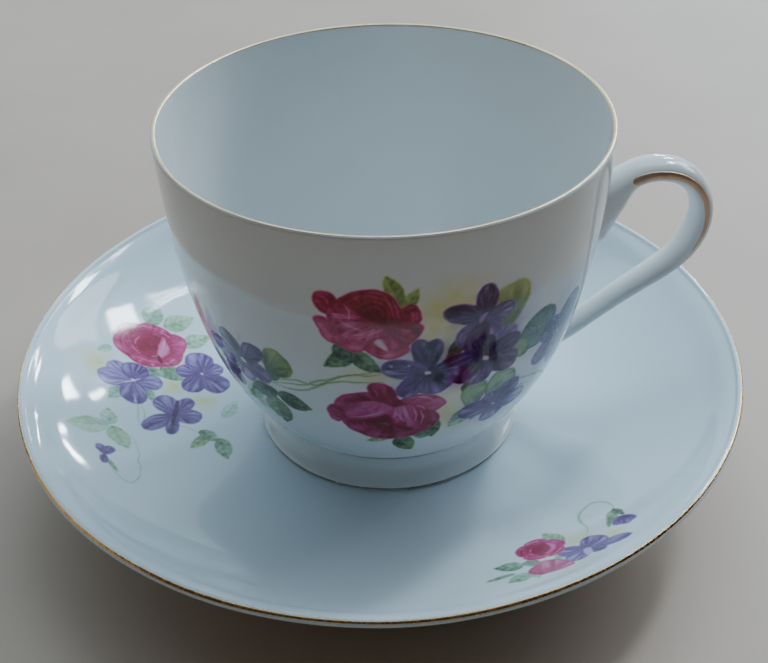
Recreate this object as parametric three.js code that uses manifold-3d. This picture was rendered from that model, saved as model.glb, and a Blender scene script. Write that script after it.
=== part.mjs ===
// A porcelain teacup standing on its saucer. Millimetres, +Z up.
// The origin is the centre of the circle on which the saucer's foot stands.
// The cup's handle points along +X. Every piece is a closed solid of its own.
import * as THREE from 'three';
import * as BufferGeometryUtils from 'three/addons/utils/BufferGeometryUtils.js';
import Module from 'manifold-3d';

// --- driving dimensions -------------------------------------------------------------

const LATHE_STEPS = 48;            // facets round the axis of every turned piece
const LUTING_GAP = 0.3;            // slip joint between two pieces stuck together before firing
const RESTING_GAP = 0.1;           // between the cup's foot and the saucer it stands on
const FILM = 0.2;                  // thickness given to gold and to printed transfers

const SAUCER_RIM_R = 73.2;
const SAUCER_RIM_Z = 23;
const SAUCER_LIP = 1.5;            // thickness of the saucer's rounded edge
const RIM_SWELL = 0.6;             // the rim rolls over a little just inside its edge
const RIM_SWELL_R = 69.8;
const WELL_Z = 6.6;                // height of the saucer's flat well
const WELL_R = 33;
const SAUCER_UNDERSIDE_Z = 3.6;
const SAUCER_SEAT_R = 42;          // the underside is flat out to here
const SAUCER_FOOT_R = 41;
const SAUCER_FOOT_WALL = 2.8;

const CUP_X = 1.8;                 // the cup stands this far from the saucer's centre
const CUP_Z = WELL_Z + RESTING_GAP;
const CUP_HEIGHT = 68.15;
const CUP_RIM_R = 42;
const LIP = 1;                     // thickness of the cup's wall at its lip
const WALL = 3;                    // and where it meets the floor
const BOWL_BOTTOM = 6.5;           // heights inside the cup count from its foot
const BOWL_FLOOR = 10;
const BOWL_BASE_R = 24.8;
const BOWL_TOP = 67.2;             // the gold edge covers the rest
const CUP_FOOT_R = 27.2;
const CUP_FOOT_TOP_R = 23.9;
const CUP_FOOT_WALL = 2.8;

const HANDLE_STEPS = 44;
const HANDLE_SIDES = 16;
const STROKE_STEPS = 26;

// --- profile curves, radius against height ------------------------------------------

// Outside of the cup's bowl, from where it leaves the foot up to the lip.
const bowlWall = new THREE.CubicBezierCurve(
  new THREE.Vector2(BOWL_BASE_R, BOWL_BOTTOM),
  new THREE.Vector2(33.6, 13.9),
  new THREE.Vector2(41, 32.4),
  new THREE.Vector2(CUP_RIM_R, CUP_HEIGHT),
);

// Upper face of the saucer, from the edge of its flat well up to the lip.
const saucerSlope = new THREE.CubicBezierCurve(
  new THREE.Vector2(WELL_R, WELL_Z),
  new THREE.Vector2(50, WELL_Z),
  new THREE.Vector2(61, 13),
  new THREE.Vector2(SAUCER_RIM_R - SAUCER_LIP / 2, SAUCER_RIM_Z - 0.1),
);

// Lower face of the saucer, from its flat seat up to the lip.
const saucerBelly = new THREE.CubicBezierCurve(
  new THREE.Vector2(SAUCER_SEAT_R, SAUCER_UNDERSIDE_Z),
  new THREE.Vector2(54, SAUCER_UNDERSIDE_Z),
  new THREE.Vector2(61.5, 12.2),
  new THREE.Vector2(SAUCER_RIM_R - 0.25, SAUCER_RIM_Z - 1.35),
);

// Parameter of a rising curve at which its coordinate ('x' or 'y') reaches a value.
function parameterAt(curve, coordinate, value) {
  let low = 0;
  let high = 1;
  for (let i = 0; i < 40; i++) {
    const middle = (low + high) / 2;
    if (curve.getPoint(middle)[coordinate] < value) low = middle;
    else high = middle;
  }
  return (low + high) / 2;
}

// Point of a curve moved square to it: positive is to the right as the curve climbs.
function offsetPoint(curve, t, distance) {
  const point = curve.getPoint(t);
  const along = curve.getTangent(t);
  return new THREE.Vector2(point.x + along.y * distance, point.y - along.x * distance);
}

// Even steps along part of a curve, moved square to it by a distance that may vary.
function offsetStretch(curve, from, to, steps, distanceAt) {
  const points = [];
  for (let i = 0; i <= steps; i++) {
    const t = from + (to - from) * i / steps;
    points.push(offsetPoint(curve, t, distanceAt(t)));
  }
  return points;
}

// --- general shape helpers ------------------------------------------------------------

// Turns a profile of (radius, height) points about the Z axis.
function revolve(points) {
  return new THREE.LatheGeometry(points, LATHE_STEPS).rotateX(Math.PI / 2);
}

// The same for a ring, whose profile comes back to its first point.
function revolveRing(points) {
  return revolve([...points, points[0].clone()]);
}

// Upright ring with a slanting outside and a narrow flat tread to stand on.
function footRing(bottomR, topR, wall, height) {
  const shape = new THREE.Path();
  shape.moveTo(bottomR - wall + 0.7, 0);
  shape.lineTo(bottomR - 0.6, 0);
  shape.quadraticCurveTo(bottomR, 0, bottomR, 0.7);
  shape.lineTo(topR, height);
  shape.lineTo(topR - wall - 0.4, height);
  shape.lineTo(bottomR - wall, 0.8);
  return revolveRing(shape.getPoints(3));
}

// Gives every vertex of a unit block (-0.5 to 0.5 each way) a new place.
function remap(geometry, placeOf) {
  const places = geometry.attributes.position;
  const from = new THREE.Vector3();
  for (let i = 0; i < places.count; i++) {
    from.fromBufferAttribute(places, i);
    const to = placeOf(from.x, from.y, from.z);
    places.setXYZ(i, to.x, to.y, to.z);
  }
  return geometry;
}

// A thin sheet with an oval outline. surfaceAt(u, v, lift) gives the point of the
// carrying surface at u and v, each from -1 to 1, raised square to it by lift.
function ovalSheet(stepsU, stepsV, surfaceAt) {
  const block = new THREE.BoxGeometry(1, 1, 1, stepsU, stepsV, 1);
  return remap(block, (x, y, z) => {
    const u = 2 * x * Math.sqrt(1 - 2 * y * y);
    const v = 2 * y * Math.sqrt(1 - 2 * x * x);
    return surfaceAt(u, v, LUTING_GAP + FILM * (z + 0.5));
  });
}

function polar(radius, degrees, z) {
  const angle = THREE.MathUtils.degToRad(degrees);
  return new THREE.Vector3(radius * Math.cos(angle), radius * Math.sin(angle), z);
}

// --- the cup ----------------------------------------------------------------------------

function bowlGeometry() {
  const top = parameterAt(bowlWall, 'y', BOWL_TOP);
  const floorEdge = 0.1;
  const wallAt = (t) => -(WALL + (LIP - WALL) * Math.min(1, t * 1.6));
  const outside = offsetStretch(bowlWall, 0, top, 11, () => 0);
  const inside = offsetStretch(bowlWall, floorEdge, top, 10, wallAt).reverse();
  const floor = new THREE.QuadraticBezierCurve(
    inside[inside.length - 1],
    new THREE.Vector2(22, BOWL_FLOOR),
    new THREE.Vector2(0, BOWL_FLOOR),
  ).getPoints(5).slice(1);
  const centre = new THREE.Vector2(0, BOWL_BOTTOM);
  return revolve([centre, ...outside, ...inside, ...floor]);
}

// The gold edge is a cap over the lip, round on top.
function cupEdgeGeometry() {
  const outer = CUP_RIM_R;
  const inner = CUP_RIM_R - LIP;
  const shoulder = BOWL_TOP + LUTING_GAP;
  const shape = new THREE.Path();
  shape.moveTo(inner, shoulder);
  shape.lineTo(outer, shoulder);
  shape.bezierCurveTo(outer, CUP_HEIGHT + 0.2, inner, CUP_HEIGHT + 0.2, inner, shoulder);
  return revolveRing(shape.getPoints(6).slice(0, -1));
}

// Fine gold line round the bottom of the foot.
function footLineGeometry() {
  const inner = CUP_FOOT_R + LUTING_GAP;
  return revolveRing([
    new THREE.Vector2(inner, 0.4),
    new THREE.Vector2(inner + FILM, 0.4),
    new THREE.Vector2(inner + FILM, 0.9),
    new THREE.Vector2(inner, 0.9),
  ]);
}

// Centreline of the handle: distance from the cup's axis, and height.
const handleLine = new THREE.SplineCurve([
  new THREE.Vector2(38.5, 44.6),
  new THREE.Vector2(43.5, 48.4),
  new THREE.Vector2(47, 51.8),
  new THREE.Vector2(51.6, 53.3),
  new THREE.Vector2(57, 52.2),
  new THREE.Vector2(61, 48.3),
  new THREE.Vector2(62.4, 42.5),
  new THREE.Vector2(60.8, 36.5),
  new THREE.Vector2(56.5, 31.3),
  new THREE.Vector2(49, 25.8),
  new THREE.Vector2(41.3, 19.8),
  new THREE.Vector2(35.5, 16),
  new THREE.Vector2(28, 13.5),
]);

// Half the handle's width (sideways) and half its thickness (in its own plane).
// Both swell at the upper root, grow slimmer down the lower arm, and swell a little
// again at the lower root.
function handleHalfSizes(t) {
  const upper = Math.pow(Math.max(0, 1 - t / 0.2), 2);
  const slim = THREE.MathUtils.smoothstep(t, 0.5, 0.85);
  const lower = Math.pow(Math.max(0, (t - 0.8) / 0.2), 2);
  return {
    width: 3.8 + 1.1 * upper - 0.9 * slim + 0.8 * lower,
    thickness: 2.2 + 6 * upper - 0.45 * slim + 1.4 * lower,
  };
}

// Point on the handle's skin: t along it, angle round it from the +Y side
// towards the outside of the loop, raised by lift.
function handleSkin(t, angle, lift) {
  const centre = handleLine.getPoint(t);
  const along = handleLine.getTangent(t);
  const half = handleHalfSizes(t);
  const sideways = (half.width + lift) * Math.cos(angle);
  const outward = (half.thickness + lift) * Math.sin(angle);
  return new THREE.Vector3(
    centre.x - along.y * outward,
    sideways,
    centre.y + along.x * outward,
  );
}

// The swept bar: a capped cylinder whose axis is laid along the centreline.
function handleBar() {
  const rod = new THREE.CylinderGeometry(1, 1, 1, HANDLE_SIDES, HANDLE_STEPS);
  return remap(rod, (x, y, z) => {
    const t = y + 0.5;
    const reach = Math.hypot(x, z);
    if (reach < 0.5) {
      const centre = handleLine.getPoint(t);
      return new THREE.Vector3(centre.x, 0, centre.y);
    }
    return handleSkin(t, Math.atan2(-z, x), 0);
  });
}

// Everything inside the bowl's outer face, with room for the slip joint.
function bowlBlank() {
  const outside = offsetStretch(bowlWall, 0, 1, 24, () => LUTING_GAP);
  const bottom = new THREE.Vector2(0, outside[0].y);
  const top = new THREE.Vector2(0, outside[outside.length - 1].y);
  return revolve([bottom, ...outside, top]);
}

// One stroke of gold along a side of the handle. It wraps the side's round edge,
// starts with a blunt end near the upper root and thins out past the bend.
function handleStroke(side) {
  const block = new THREE.BoxGeometry(1, 1, 1, STROKE_STEPS, 4, 1);
  return remap(block, (x, y, z) => {
    const along = x + 0.5;
    const t = 0.17 + 0.42 * along;
    const middle = 0.12 - 0.1 * along;
    const halfAngle = 0.52 * Math.sqrt(Math.min(1, along * 12 + 0.1) * (1.02 - along));
    const angle = middle - side * 2 * y * halfAngle;
    const point = handleSkin(t, angle, LUTING_GAP + FILM * (z + 0.5));
    return new THREE.Vector3(point.x, side * point.y, point.z);
  });
}

// A printed transfer on the bowl, given by its middle and half size.
function bowlTransfer(azimuth, halfWidth, height, halfHeight) {
  return ovalSheet(14, 7, (u, v, lift) => {
    const t = parameterAt(bowlWall, 'y', height + halfHeight * v);
    const skin = offsetPoint(bowlWall, t, lift);
    return polar(skin.x, azimuth + halfWidth * u, skin.y);
  });
}

// --- the saucer ---------------------------------------------------------------------------

// Raises a point of the saucer's profile where the rim swells.
function swollen(point) {
  const away = (point.x - RIM_SWELL_R) / 2.2;
  return new THREE.Vector2(point.x, point.y + RIM_SWELL * Math.exp(-(away ** 2)));
}

function saucerTopPoint(radius, lift) {
  if (radius <= WELL_R) return new THREE.Vector2(radius, WELL_Z + lift);
  return swollen(offsetPoint(saucerSlope, parameterAt(saucerSlope, 'x', radius), -lift));
}

// The gold edge takes the place of the lip's outer face, so the plate stops short of it.
function plateGeometry() {
  const belly = saucerBelly.getPoints(10).slice(0, -1).map(swollen);
  const slope = saucerSlope.getPoints(12).slice(0, -1).reverse().map(swollen);
  const edge = [
    new THREE.Vector2(SAUCER_RIM_R - 0.5, SAUCER_RIM_Z - 1.1),
    new THREE.Vector2(SAUCER_RIM_R - 0.6, SAUCER_RIM_Z - 0.5),
  ];
  const centreBelow = new THREE.Vector2(0, SAUCER_UNDERSIDE_Z);
  const centreAbove = new THREE.Vector2(0, WELL_Z);
  const lipBelow = saucerBelly.getPoint(1);
  const lipAbove = saucerSlope.getPoint(1);
  return revolve([centreBelow, ...belly, lipBelow, ...edge, lipAbove, ...slope, centreAbove]);
}

function saucerEdgeGeometry() {
  return revolveRing([
    new THREE.Vector2(SAUCER_RIM_R - 0.3, SAUCER_RIM_Z - 0.9),
    new THREE.Vector2(SAUCER_RIM_R, SAUCER_RIM_Z - 0.8),
    new THREE.Vector2(SAUCER_RIM_R - 0.05, SAUCER_RIM_Z - 0.35),
    new THREE.Vector2(SAUCER_RIM_R - 0.35, SAUCER_RIM_Z),
    new THREE.Vector2(SAUCER_RIM_R - 0.6, SAUCER_RIM_Z),
    new THREE.Vector2(SAUCER_RIM_R - 0.3, SAUCER_RIM_Z - 0.4),
  ]);
}

// A printed transfer on the saucer's upper face.
function saucerTransfer(azimuth, halfWidth, radius, halfRadius) {
  return ovalSheet(14, 7, (u, v, lift) => {
    const skin = saucerTopPoint(radius - halfRadius * v, lift);
    return polar(skin.x, azimuth + halfWidth * u, skin.y);
  });
}

// --- boolean cut ----------------------------------------------------------------------------

const wasm = await Module();
wasm.setup();

function toManifold(geometry) {
  const bare = geometry.clone();
  bare.deleteAttribute('normal');
  bare.deleteAttribute('uv');
  const merged = BufferGeometryUtils.mergeVertices(bare, 1e-4);
  return new wasm.Manifold(new wasm.Mesh({
    numProp: 3,
    vertProperties: new Float32Array(merged.attributes.position.array),
    triVerts: new Uint32Array(merged.index.array),
  }));
}

function cutAway(geometry, tool) {
  const mesh = toManifold(geometry).subtract(toManifold(tool)).getMesh();
  const result = new THREE.BufferGeometry();
  result.setAttribute('position', new THREE.BufferAttribute(mesh.vertProperties, 3));
  result.setIndex(new THREE.BufferAttribute(mesh.triVerts, 1));
  result.computeVertexNormals();
  return result;
}

// --- materials and assembly ---------------------------------------------------------------

const porcelain = () => new THREE.MeshStandardMaterial({
  color: 0xe4ecef,
  roughness: 0.12,
  metalness: 0,
});
const gold = () => new THREE.MeshStandardMaterial({
  color: 0xc9a24a,
  roughness: 0.25,
  metalness: 1,
});
const enamel = () => new THREE.MeshStandardMaterial({
  color: 0xb0668f,
  roughness: 0.2,
  metalness: 0,
});

function addPiece(group, name, geometry, material) {
  const mesh = new THREE.Mesh(geometry, material);
  mesh.name = name;
  group.add(mesh);
}

function buildSaucer() {
  const saucer = new THREE.Group();
  const footHeight = SAUCER_UNDERSIDE_Z - LUTING_GAP;
  const foot = footRing(SAUCER_FOOT_R, SAUCER_FOOT_R, SAUCER_FOOT_WALL, footHeight);
  addPiece(saucer, 'saucer_plate', plateGeometry(), porcelain());
  addPiece(saucer, 'saucer_foot_ring', foot, porcelain());
  addPiece(saucer, 'saucer_rim_gilding', saucerEdgeGeometry(), gold());
  addPiece(saucer, 'saucer_large_transfer', saucerTransfer(177, 41, 49, 18), enamel());
  addPiece(saucer, 'saucer_front_transfer', saucerTransfer(-62, 16, 57, 10.5), enamel());
  addPiece(saucer, 'saucer_back_transfer', saucerTransfer(58, 16, 57, 10.5), enamel());
  return saucer;
}

function buildCup() {
  const cup = new THREE.Group();
  const footHeight = BOWL_BOTTOM - LUTING_GAP;
  const foot = footRing(CUP_FOOT_R, CUP_FOOT_TOP_R, CUP_FOOT_WALL, footHeight);
  addPiece(cup, 'cup_bowl', bowlGeometry(), porcelain());
  addPiece(cup, 'cup_foot_ring', foot, porcelain());
  addPiece(cup, 'cup_handle', cutAway(handleBar(), bowlBlank()), porcelain());
  addPiece(cup, 'cup_rim_gilding', cupEdgeGeometry(), gold());
  addPiece(cup, 'cup_foot_gilding', footLineGeometry(), gold());
  addPiece(cup, 'handle_front_gilding', handleStroke(-1), gold());
  addPiece(cup, 'handle_back_gilding', handleStroke(1), gold());
  addPiece(cup, 'cup_front_garland_transfer', bowlTransfer(-71, 44, 37, 23), enamel());
  addPiece(cup, 'cup_left_posy_transfer', bowlTransfer(-140, 23, 31, 14), enamel());
  addPiece(cup, 'cup_back_garland_transfer', bowlTransfer(109, 44, 37, 23), enamel());
  addPiece(cup, 'cup_right_posy_transfer', bowlTransfer(40, 23, 31, 14), enamel());
  cup.position.set(CUP_X, 0, CUP_Z);
  return cup;
}

const teacup = new THREE.Group();
teacup.add(buildSaucer(), buildCup());

export default teacup;
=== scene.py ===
"""A porcelain teacup on its saucer, with gilded edges and flower transfers, for Blender 4.5.

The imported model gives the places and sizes. Lengths in this script are millimetres, and
become metres when a mesh is made. Heights on the cup count from the bottom of its foot.
"""

import math

import bpy
import numpy as np
from mathutils import Matrix, Vector


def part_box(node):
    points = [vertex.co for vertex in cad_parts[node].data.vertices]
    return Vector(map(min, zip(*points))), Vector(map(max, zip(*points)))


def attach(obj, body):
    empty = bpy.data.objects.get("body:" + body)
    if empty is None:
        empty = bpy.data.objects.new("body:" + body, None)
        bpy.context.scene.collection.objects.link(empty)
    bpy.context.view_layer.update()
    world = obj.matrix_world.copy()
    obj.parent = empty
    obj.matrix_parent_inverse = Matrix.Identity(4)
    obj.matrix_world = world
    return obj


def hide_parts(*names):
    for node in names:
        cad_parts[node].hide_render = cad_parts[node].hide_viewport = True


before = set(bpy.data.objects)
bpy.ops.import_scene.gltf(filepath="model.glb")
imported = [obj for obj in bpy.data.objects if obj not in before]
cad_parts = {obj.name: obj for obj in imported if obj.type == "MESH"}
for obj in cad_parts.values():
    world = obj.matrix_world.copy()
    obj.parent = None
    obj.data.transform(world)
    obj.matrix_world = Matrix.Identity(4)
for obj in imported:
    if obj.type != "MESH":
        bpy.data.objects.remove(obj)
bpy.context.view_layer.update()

MM = 0.001

# --- sizes ---


def box_mm(node):
    """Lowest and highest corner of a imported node, in millimetres."""
    low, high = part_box(node)
    return np.array(low) / MM, np.array(high) / MM


foot_low, foot_high = box_mm("cup_foot_ring")
edge_low, edge_high = box_mm("cup_rim_gilding")
saucer_high = box_mm("saucer_rim_gilding")[1]

CUP_X = (foot_low[0] + foot_high[0]) / 2
CUP_BASE = foot_low[2]
CUP_FOOT_R = (foot_high[0] - foot_low[0]) / 2
CUP_RIM_R = (edge_high[0] - edge_low[0]) / 2
CUP_HEIGHT = edge_high[2] - CUP_BASE
SAUCER_R = saucer_high[0]
SAUCER_TOP = saucer_high[2]
SAUCER_FOOT_R = box_mm("saucer_foot_ring")[1][0]
SAUCER_SEAT_Z = box_mm("saucer_plate")[0][2]

LIP_ROUND = 0.5                  # radius of the cup's rounded lip
WALL = 3.0                       # the cup's wall where it meets the floor
BOWL_BOTTOM = 6.5
BOWL_FLOOR = 10.0
FOOT_WALL = 2.8
FOOT_EDGE = 0.7                  # height of the soft outer edge of a foot's tread
RESTING_GAP = 0.1                # between the cup's foot and the saucer
WELL_Z = CUP_BASE - RESTING_GAP
WELL_R = 33.0
SAUCER_SEAT_R = 42.0             # the saucer's underside is flat out to here
SAUCER_LIP_ROUND = 0.75
RIM_SWELL = 0.6                  # the saucer's rim rolls over a little just inside its edge
RIM_SWELL_R = 69.8
GOLD_FILM = 0.03
ENAMEL_FILM = 0.025
ENAMEL_EDGE = 0.009              # the film thins out at its edge
ENAMEL_UNDER = 0.004
CELL = 0.18                      # grain of the painted sheets
TURN_STEPS = 256                 # facets round the axis of a turned piece


def smooth(value):
    """0 below 0, 1 above 1, and a soft step between."""
    value = np.clip(value, 0, 1)
    return value * value * (3 - 2 * value)


def rows(*columns):
    """Joins coordinates into an array with one point in each row."""
    return np.stack(np.broadcast_arrays(*columns), axis=-1)


class Curve:
    """A cubic Bezier curve in the plane of radius and height."""

    def __init__(self, *corners):
        self.corners = np.array(corners, float)
        self.steps = np.linspace(0, 1, 2001)
        self.places = self.point(self.steps)

    def point(self, t):
        t = np.asarray(t, float)[..., None]
        a, b, c, d = self.corners
        return (1 - t) ** 3 * a + 3 * (1 - t) ** 2 * t * b + 3 * (1 - t) * t**2 * c + t**3 * d

    def normal(self, t):
        """Unit vector square to the curve, to its right as it climbs."""
        t = np.asarray(t, float)[..., None]
        a, b, c, d = self.corners
        along = (1 - t) ** 2 * (b - a) + 2 * (1 - t) * t * (c - b) + t**2 * (d - c)
        along = along / np.linalg.norm(along, axis=-1, keepdims=True)
        return rows(along[..., 1], -along[..., 0])

    def offset(self, t, distance):
        return self.point(t) + np.asarray(distance, float)[..., None] * self.normal(t)

    def at_radius(self, radius):
        return np.interp(radius, self.places[:, 0], self.steps)

    def at_height(self, height):
        return np.interp(height, self.places[:, 1], self.steps)


bowl_wall = Curve((24.8, BOWL_BOTTOM), (33.6, 13.9), (41, 32.4), (CUP_RIM_R, CUP_HEIGHT))
saucer_slope = Curve((WELL_R, WELL_Z), (50, WELL_Z), (61, 13),
                     (SAUCER_R - SAUCER_LIP_ROUND, SAUCER_TOP - 0.1))
saucer_belly = Curve((SAUCER_SEAT_R, SAUCER_SEAT_Z), (54, SAUCER_SEAT_Z), (61.5, 12.2),
                     (SAUCER_R - 0.25, SAUCER_TOP - 1.35))


def arc(centre, radius, start, end, steps):
    """Points on part of a circle, angles in degrees."""
    angle = np.radians(np.linspace(start, end, steps + 1))
    return np.array(centre) + radius * rows(np.cos(angle), np.sin(angle))


def bend(start, corner, end, steps):
    """A soft bend from one point to another, round a corner. Whole rings of points bend too."""
    t = np.linspace(0, 1, steps + 1).reshape((-1,) + (1,) * np.ndim(start))
    return (1 - t) ** 2 * np.array(start) + 2 * (1 - t) * t * np.array(corner) + t**2 * np.array(end)


def around(radius, azimuth, height):
    """Points at a distance from the Z axis, azimuth in radians from +X."""
    return rows(radius * np.cos(azimuth), radius * np.sin(azimuth), height)


# --- the slight unevenness of fired ware ---


def ripple(azimuth, along, seed, count=9):
    """Smooth waves from about -1 to 1 that close round the axis. along is in millimetres."""
    dice = np.random.default_rng(seed)
    total = 0
    for _ in range(count):
        turns = dice.integers(2, 15)
        slant = dice.uniform(-0.16, 0.16)
        phase = dice.uniform(0, 2 * math.pi)
        total = total + np.sin(turns * azimuth + slant * along + phase) / math.sqrt(count)
    return total


def cup_shape(points):
    """Waves of a few hundredths of a millimetre in the bowl, fading out at foot and handle."""
    x = points[..., 0] - CUP_X
    y = points[..., 1]
    height = points[..., 2] - CUP_BASE
    radius = np.hypot(x, y)
    outside = np.maximum(radius - bowl_wall.point(bowl_wall.at_height(height))[..., 0], 0)
    share = smooth((height - 9) / 8) * np.exp(-((outside / 3) ** 2))
    push = 1 + 0.03 * share * ripple(np.arctan2(y, x), height, 4) / np.maximum(radius, 5)
    return rows(CUP_X + x * push, y * push, points[..., 2])


def saucer_shape(points):
    """The same in the saucer: its rising rim is a little wavy, and rolls over near the lip."""
    x = points[..., 0]
    y = points[..., 1]
    radius = np.hypot(x, y)
    azimuth = np.arctan2(y, x)
    broad = smooth((radius - 30) / 25) * ripple(azimuth, radius, 11)
    rings = smooth((radius - 45) / 20) * ripple(azimuth, 6 * radius, 12, 12)
    roll = RIM_SWELL * np.exp(-(((radius - RIM_SWELL_R) / 2.2) ** 2))
    return rows(x, y, points[..., 2] + 0.07 * broad + 0.012 * rings + roll)


# --- mesh helpers ---


def mesh_piece(name, points, faces, material, body, nodes):
    """Makes one piece of the object from points in millimetres."""
    mesh = bpy.data.meshes.new(name)
    mesh.from_pydata((points * MM).tolist(), [], faces)
    mesh.polygons.foreach_set("use_smooth", [True] * len(mesh.polygons))
    mesh.materials.append(material)
    mesh.update()
    piece = bpy.data.objects.new(name, mesh)
    bpy.context.scene.collection.objects.link(piece)
    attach(piece, body)
    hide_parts(*nodes)
    return piece


def grid_faces(count_u, count_v, wrap_u, wrap_v):
    """Quads of a grid of points numbered u * count_v + v, which may close on itself."""
    faces = []
    for u in range(count_u if wrap_u else count_u - 1):
        here = u * count_v
        beside = (u + 1) % count_u * count_v
        for v in range(count_v if wrap_v else count_v - 1):
            above = (v + 1) % count_v
            faces.append((here + v, beside + v, beside + above, here + above))
    return faces


def turned(profile, closed, steps=TURN_STEPS):
    """Turns a profile of (radius, height) points about the Z axis. A profile that isn't closed
    starts and ends on the axis. It runs outwards below, up the outside and back in above."""
    profile = np.array(profile)
    rings = profile if closed else profile[1:-1]
    azimuth = np.arange(steps)[:, None] * 2 * math.pi / steps
    points = around(rings[:, 0], azimuth, rings[:, 1]).reshape(-1, 3)
    faces = grid_faces(steps, len(rings), True, closed)
    if not closed:
        last = len(rings) - 1
        bottom = len(points)
        points = np.vstack([points, (0, 0, profile[0, 1]), (0, 0, profile[-1, 1])])
        for u in range(steps):
            here = u * len(rings)
            after = (u + 1) % steps * len(rings)
            faces.append((bottom, after, here))
            faces.append((bottom + 1, here + last, after + last))
    return points, faces


def on_cup(points):
    """Moves points from the cup's own axis and foot to where the cup stands."""
    return cup_shape(points + np.array((CUP_X, 0, CUP_BASE)))


# --- node materials ---


class Shader:
    """A node material, built a node at a time."""

    def __init__(self, name):
        self.material = bpy.data.materials.new(name)
        self.material.use_nodes = True
        self.tree = self.material.node_tree
        self.surface = self.tree.nodes["Principled BSDF"]
        self.place = self.add("TexCoord").outputs["Object"]

    def add(self, kind, inputs=None, **settings):
        node = self.tree.nodes.new("ShaderNode" + kind)
        for name, value in settings.items():
            setattr(node, name, value)
        for name, value in (inputs or {}).items():
            self.put(node.inputs[name], value)
        return node

    def put(self, socket, value):
        if isinstance(value, bpy.types.NodeSocket):
            self.tree.links.new(value, socket)
        else:
            socket.default_value = value

    def set(self, **values):
        """Sets the surface's sockets: base_color=... and so on."""
        for name, value in values.items():
            self.put(self.surface.inputs[name.replace("_", " ").title().replace("Ior", "IOR")], value)

    def noise(self, size, detail=2.0, roughness=0.5):
        """Cloudy noise from 0 to 1, its clouds about size millimetres across."""
        inputs = {"Vector": self.place, "Scale": 1 / (size * MM), "Detail": detail, "Roughness": roughness}
        return self.add("TexNoise", inputs).outputs["Fac"]

    def ramp(self, value, *stops):
        """A number or colour that changes with value, through (place, colour) stops."""
        node = self.add("ValToRGB", {"Fac": value})
        elements = node.color_ramp.elements
        while len(elements) < len(stops):
            elements.new(1.0)
        for element, (place, colour) in zip(elements, stops):
            element.position = place
            element.color = (*colour, 1) if isinstance(colour, tuple) else (colour, colour, colour, 1)
        return node.outputs["Color"]

    def mix(self, share, first, second, blend="MIX"):
        node = self.add("Mix", data_type="RGBA", blend_type=blend)
        self.put(node.inputs["Factor"], share)
        for socket, value in ((node.inputs[6], first), (node.inputs[7], second)):
            self.put(socket, (*value, 1) if isinstance(value, tuple) else value)
        return node.outputs[2]

    def math(self, operation, first, second):
        node = self.add("Math", operation=operation)
        self.put(node.inputs[0], first)
        self.put(node.inputs[1], second)
        return node.outputs[0]

    def span(self, value, from_low, from_high, to_low, to_high):
        names = ("From Min", "From Max", "To Min", "To Max")
        inputs = dict(zip(names, (from_low, from_high, to_low, to_high)))
        return self.add("MapRange", {"Value": value, **inputs}).outputs["Result"]

    def bump(self, height, depth):
        """Tilts the surface by a height pattern whose full depth is in millimetres."""
        inputs = {"Height": height, "Distance": depth * MM, "Strength": 1.0}
        self.set(normal=self.add("Bump", inputs).outputs["Normal"])


# Cup and saucer are the same porcelain. The saucer's glaze is given bluer than the cup's: painted light, the
# bluish daylight on the saucer put into its colour.
CUP_GLAZE = (0.80, 0.85, 0.865)
SAUCER_GLAZE_WITH_PAINTED_DAYLIGHT = (0.72, 0.87, 0.955)


def glaze_colour(shader, glaze):
    """Bluish white, with faint clouds and a few tiny dark specks burnt into it. The saucer's deeper blue is
    painted daylight.
    """
    clouds = shader.noise(28, 3.0)
    tone = shader.ramp(clouds, (0.3, glaze), (0.7, tuple(0.98 * level for level in glaze)))
    inputs = {"Vector": shader.place, "Scale": 1 / (7 * MM)}
    cells = shader.add("TexVoronoi", inputs, feature="F1")
    near = shader.span(cells.outputs["Distance"], 0.012, 0.022, 1.0, 0.0)
    chosen = shader.math("GREATER_THAN", cells.outputs["Color"], 0.86)
    speck = shader.math("MULTIPLY", near, chosen)
    return shader.mix(shader.math("MULTIPLY", speck, 0.7), tone, (0.16, 0.13, 0.10))


def glaze_finish(shader, roughness=None):
    """Shine of a fired glaze, with the faint pitting called orange peel."""
    patches = shader.span(shader.noise(9, 2.0), 0.3, 0.7, 0.045, 0.085)
    shader.set(roughness=patches if roughness is None else roughness, ior=1.5)
    shader.bump(shader.noise(1.6, 2.0), 0.0012)


def porcelain(name, glaze, tread=None):
    """Glazed porcelain. tread is the height of a foot's bare, unglazed edge."""
    shader = Shader(name)
    colour = glaze_colour(shader, glaze)
    glaze_finish(shader)
    if tread is not None:
        split = shader.add("SeparateXYZ", {"Vector": shader.place})
        ragged = shader.math("MULTIPLY", shader.noise(2.5), 0.18 * MM)
        height = shader.math("ADD", split.outputs["Z"], ragged)
        bare = shader.span(height, (tread + 0.14) * MM, (tread + 0.22) * MM, 1.0, 0.0)
        biscuit = shader.ramp(shader.noise(0.5, 4.0), (0.3, (0.47, 0.43, 0.38)), (0.7, (0.62, 0.59, 0.54)))
        shader.set(roughness=shader.span(bare, 0.0, 1.0, 0.07, 0.65))
        colour = shader.mix(bare, colour, biscuit)
    shader.set(base_color=colour)
    return shader.material


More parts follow.
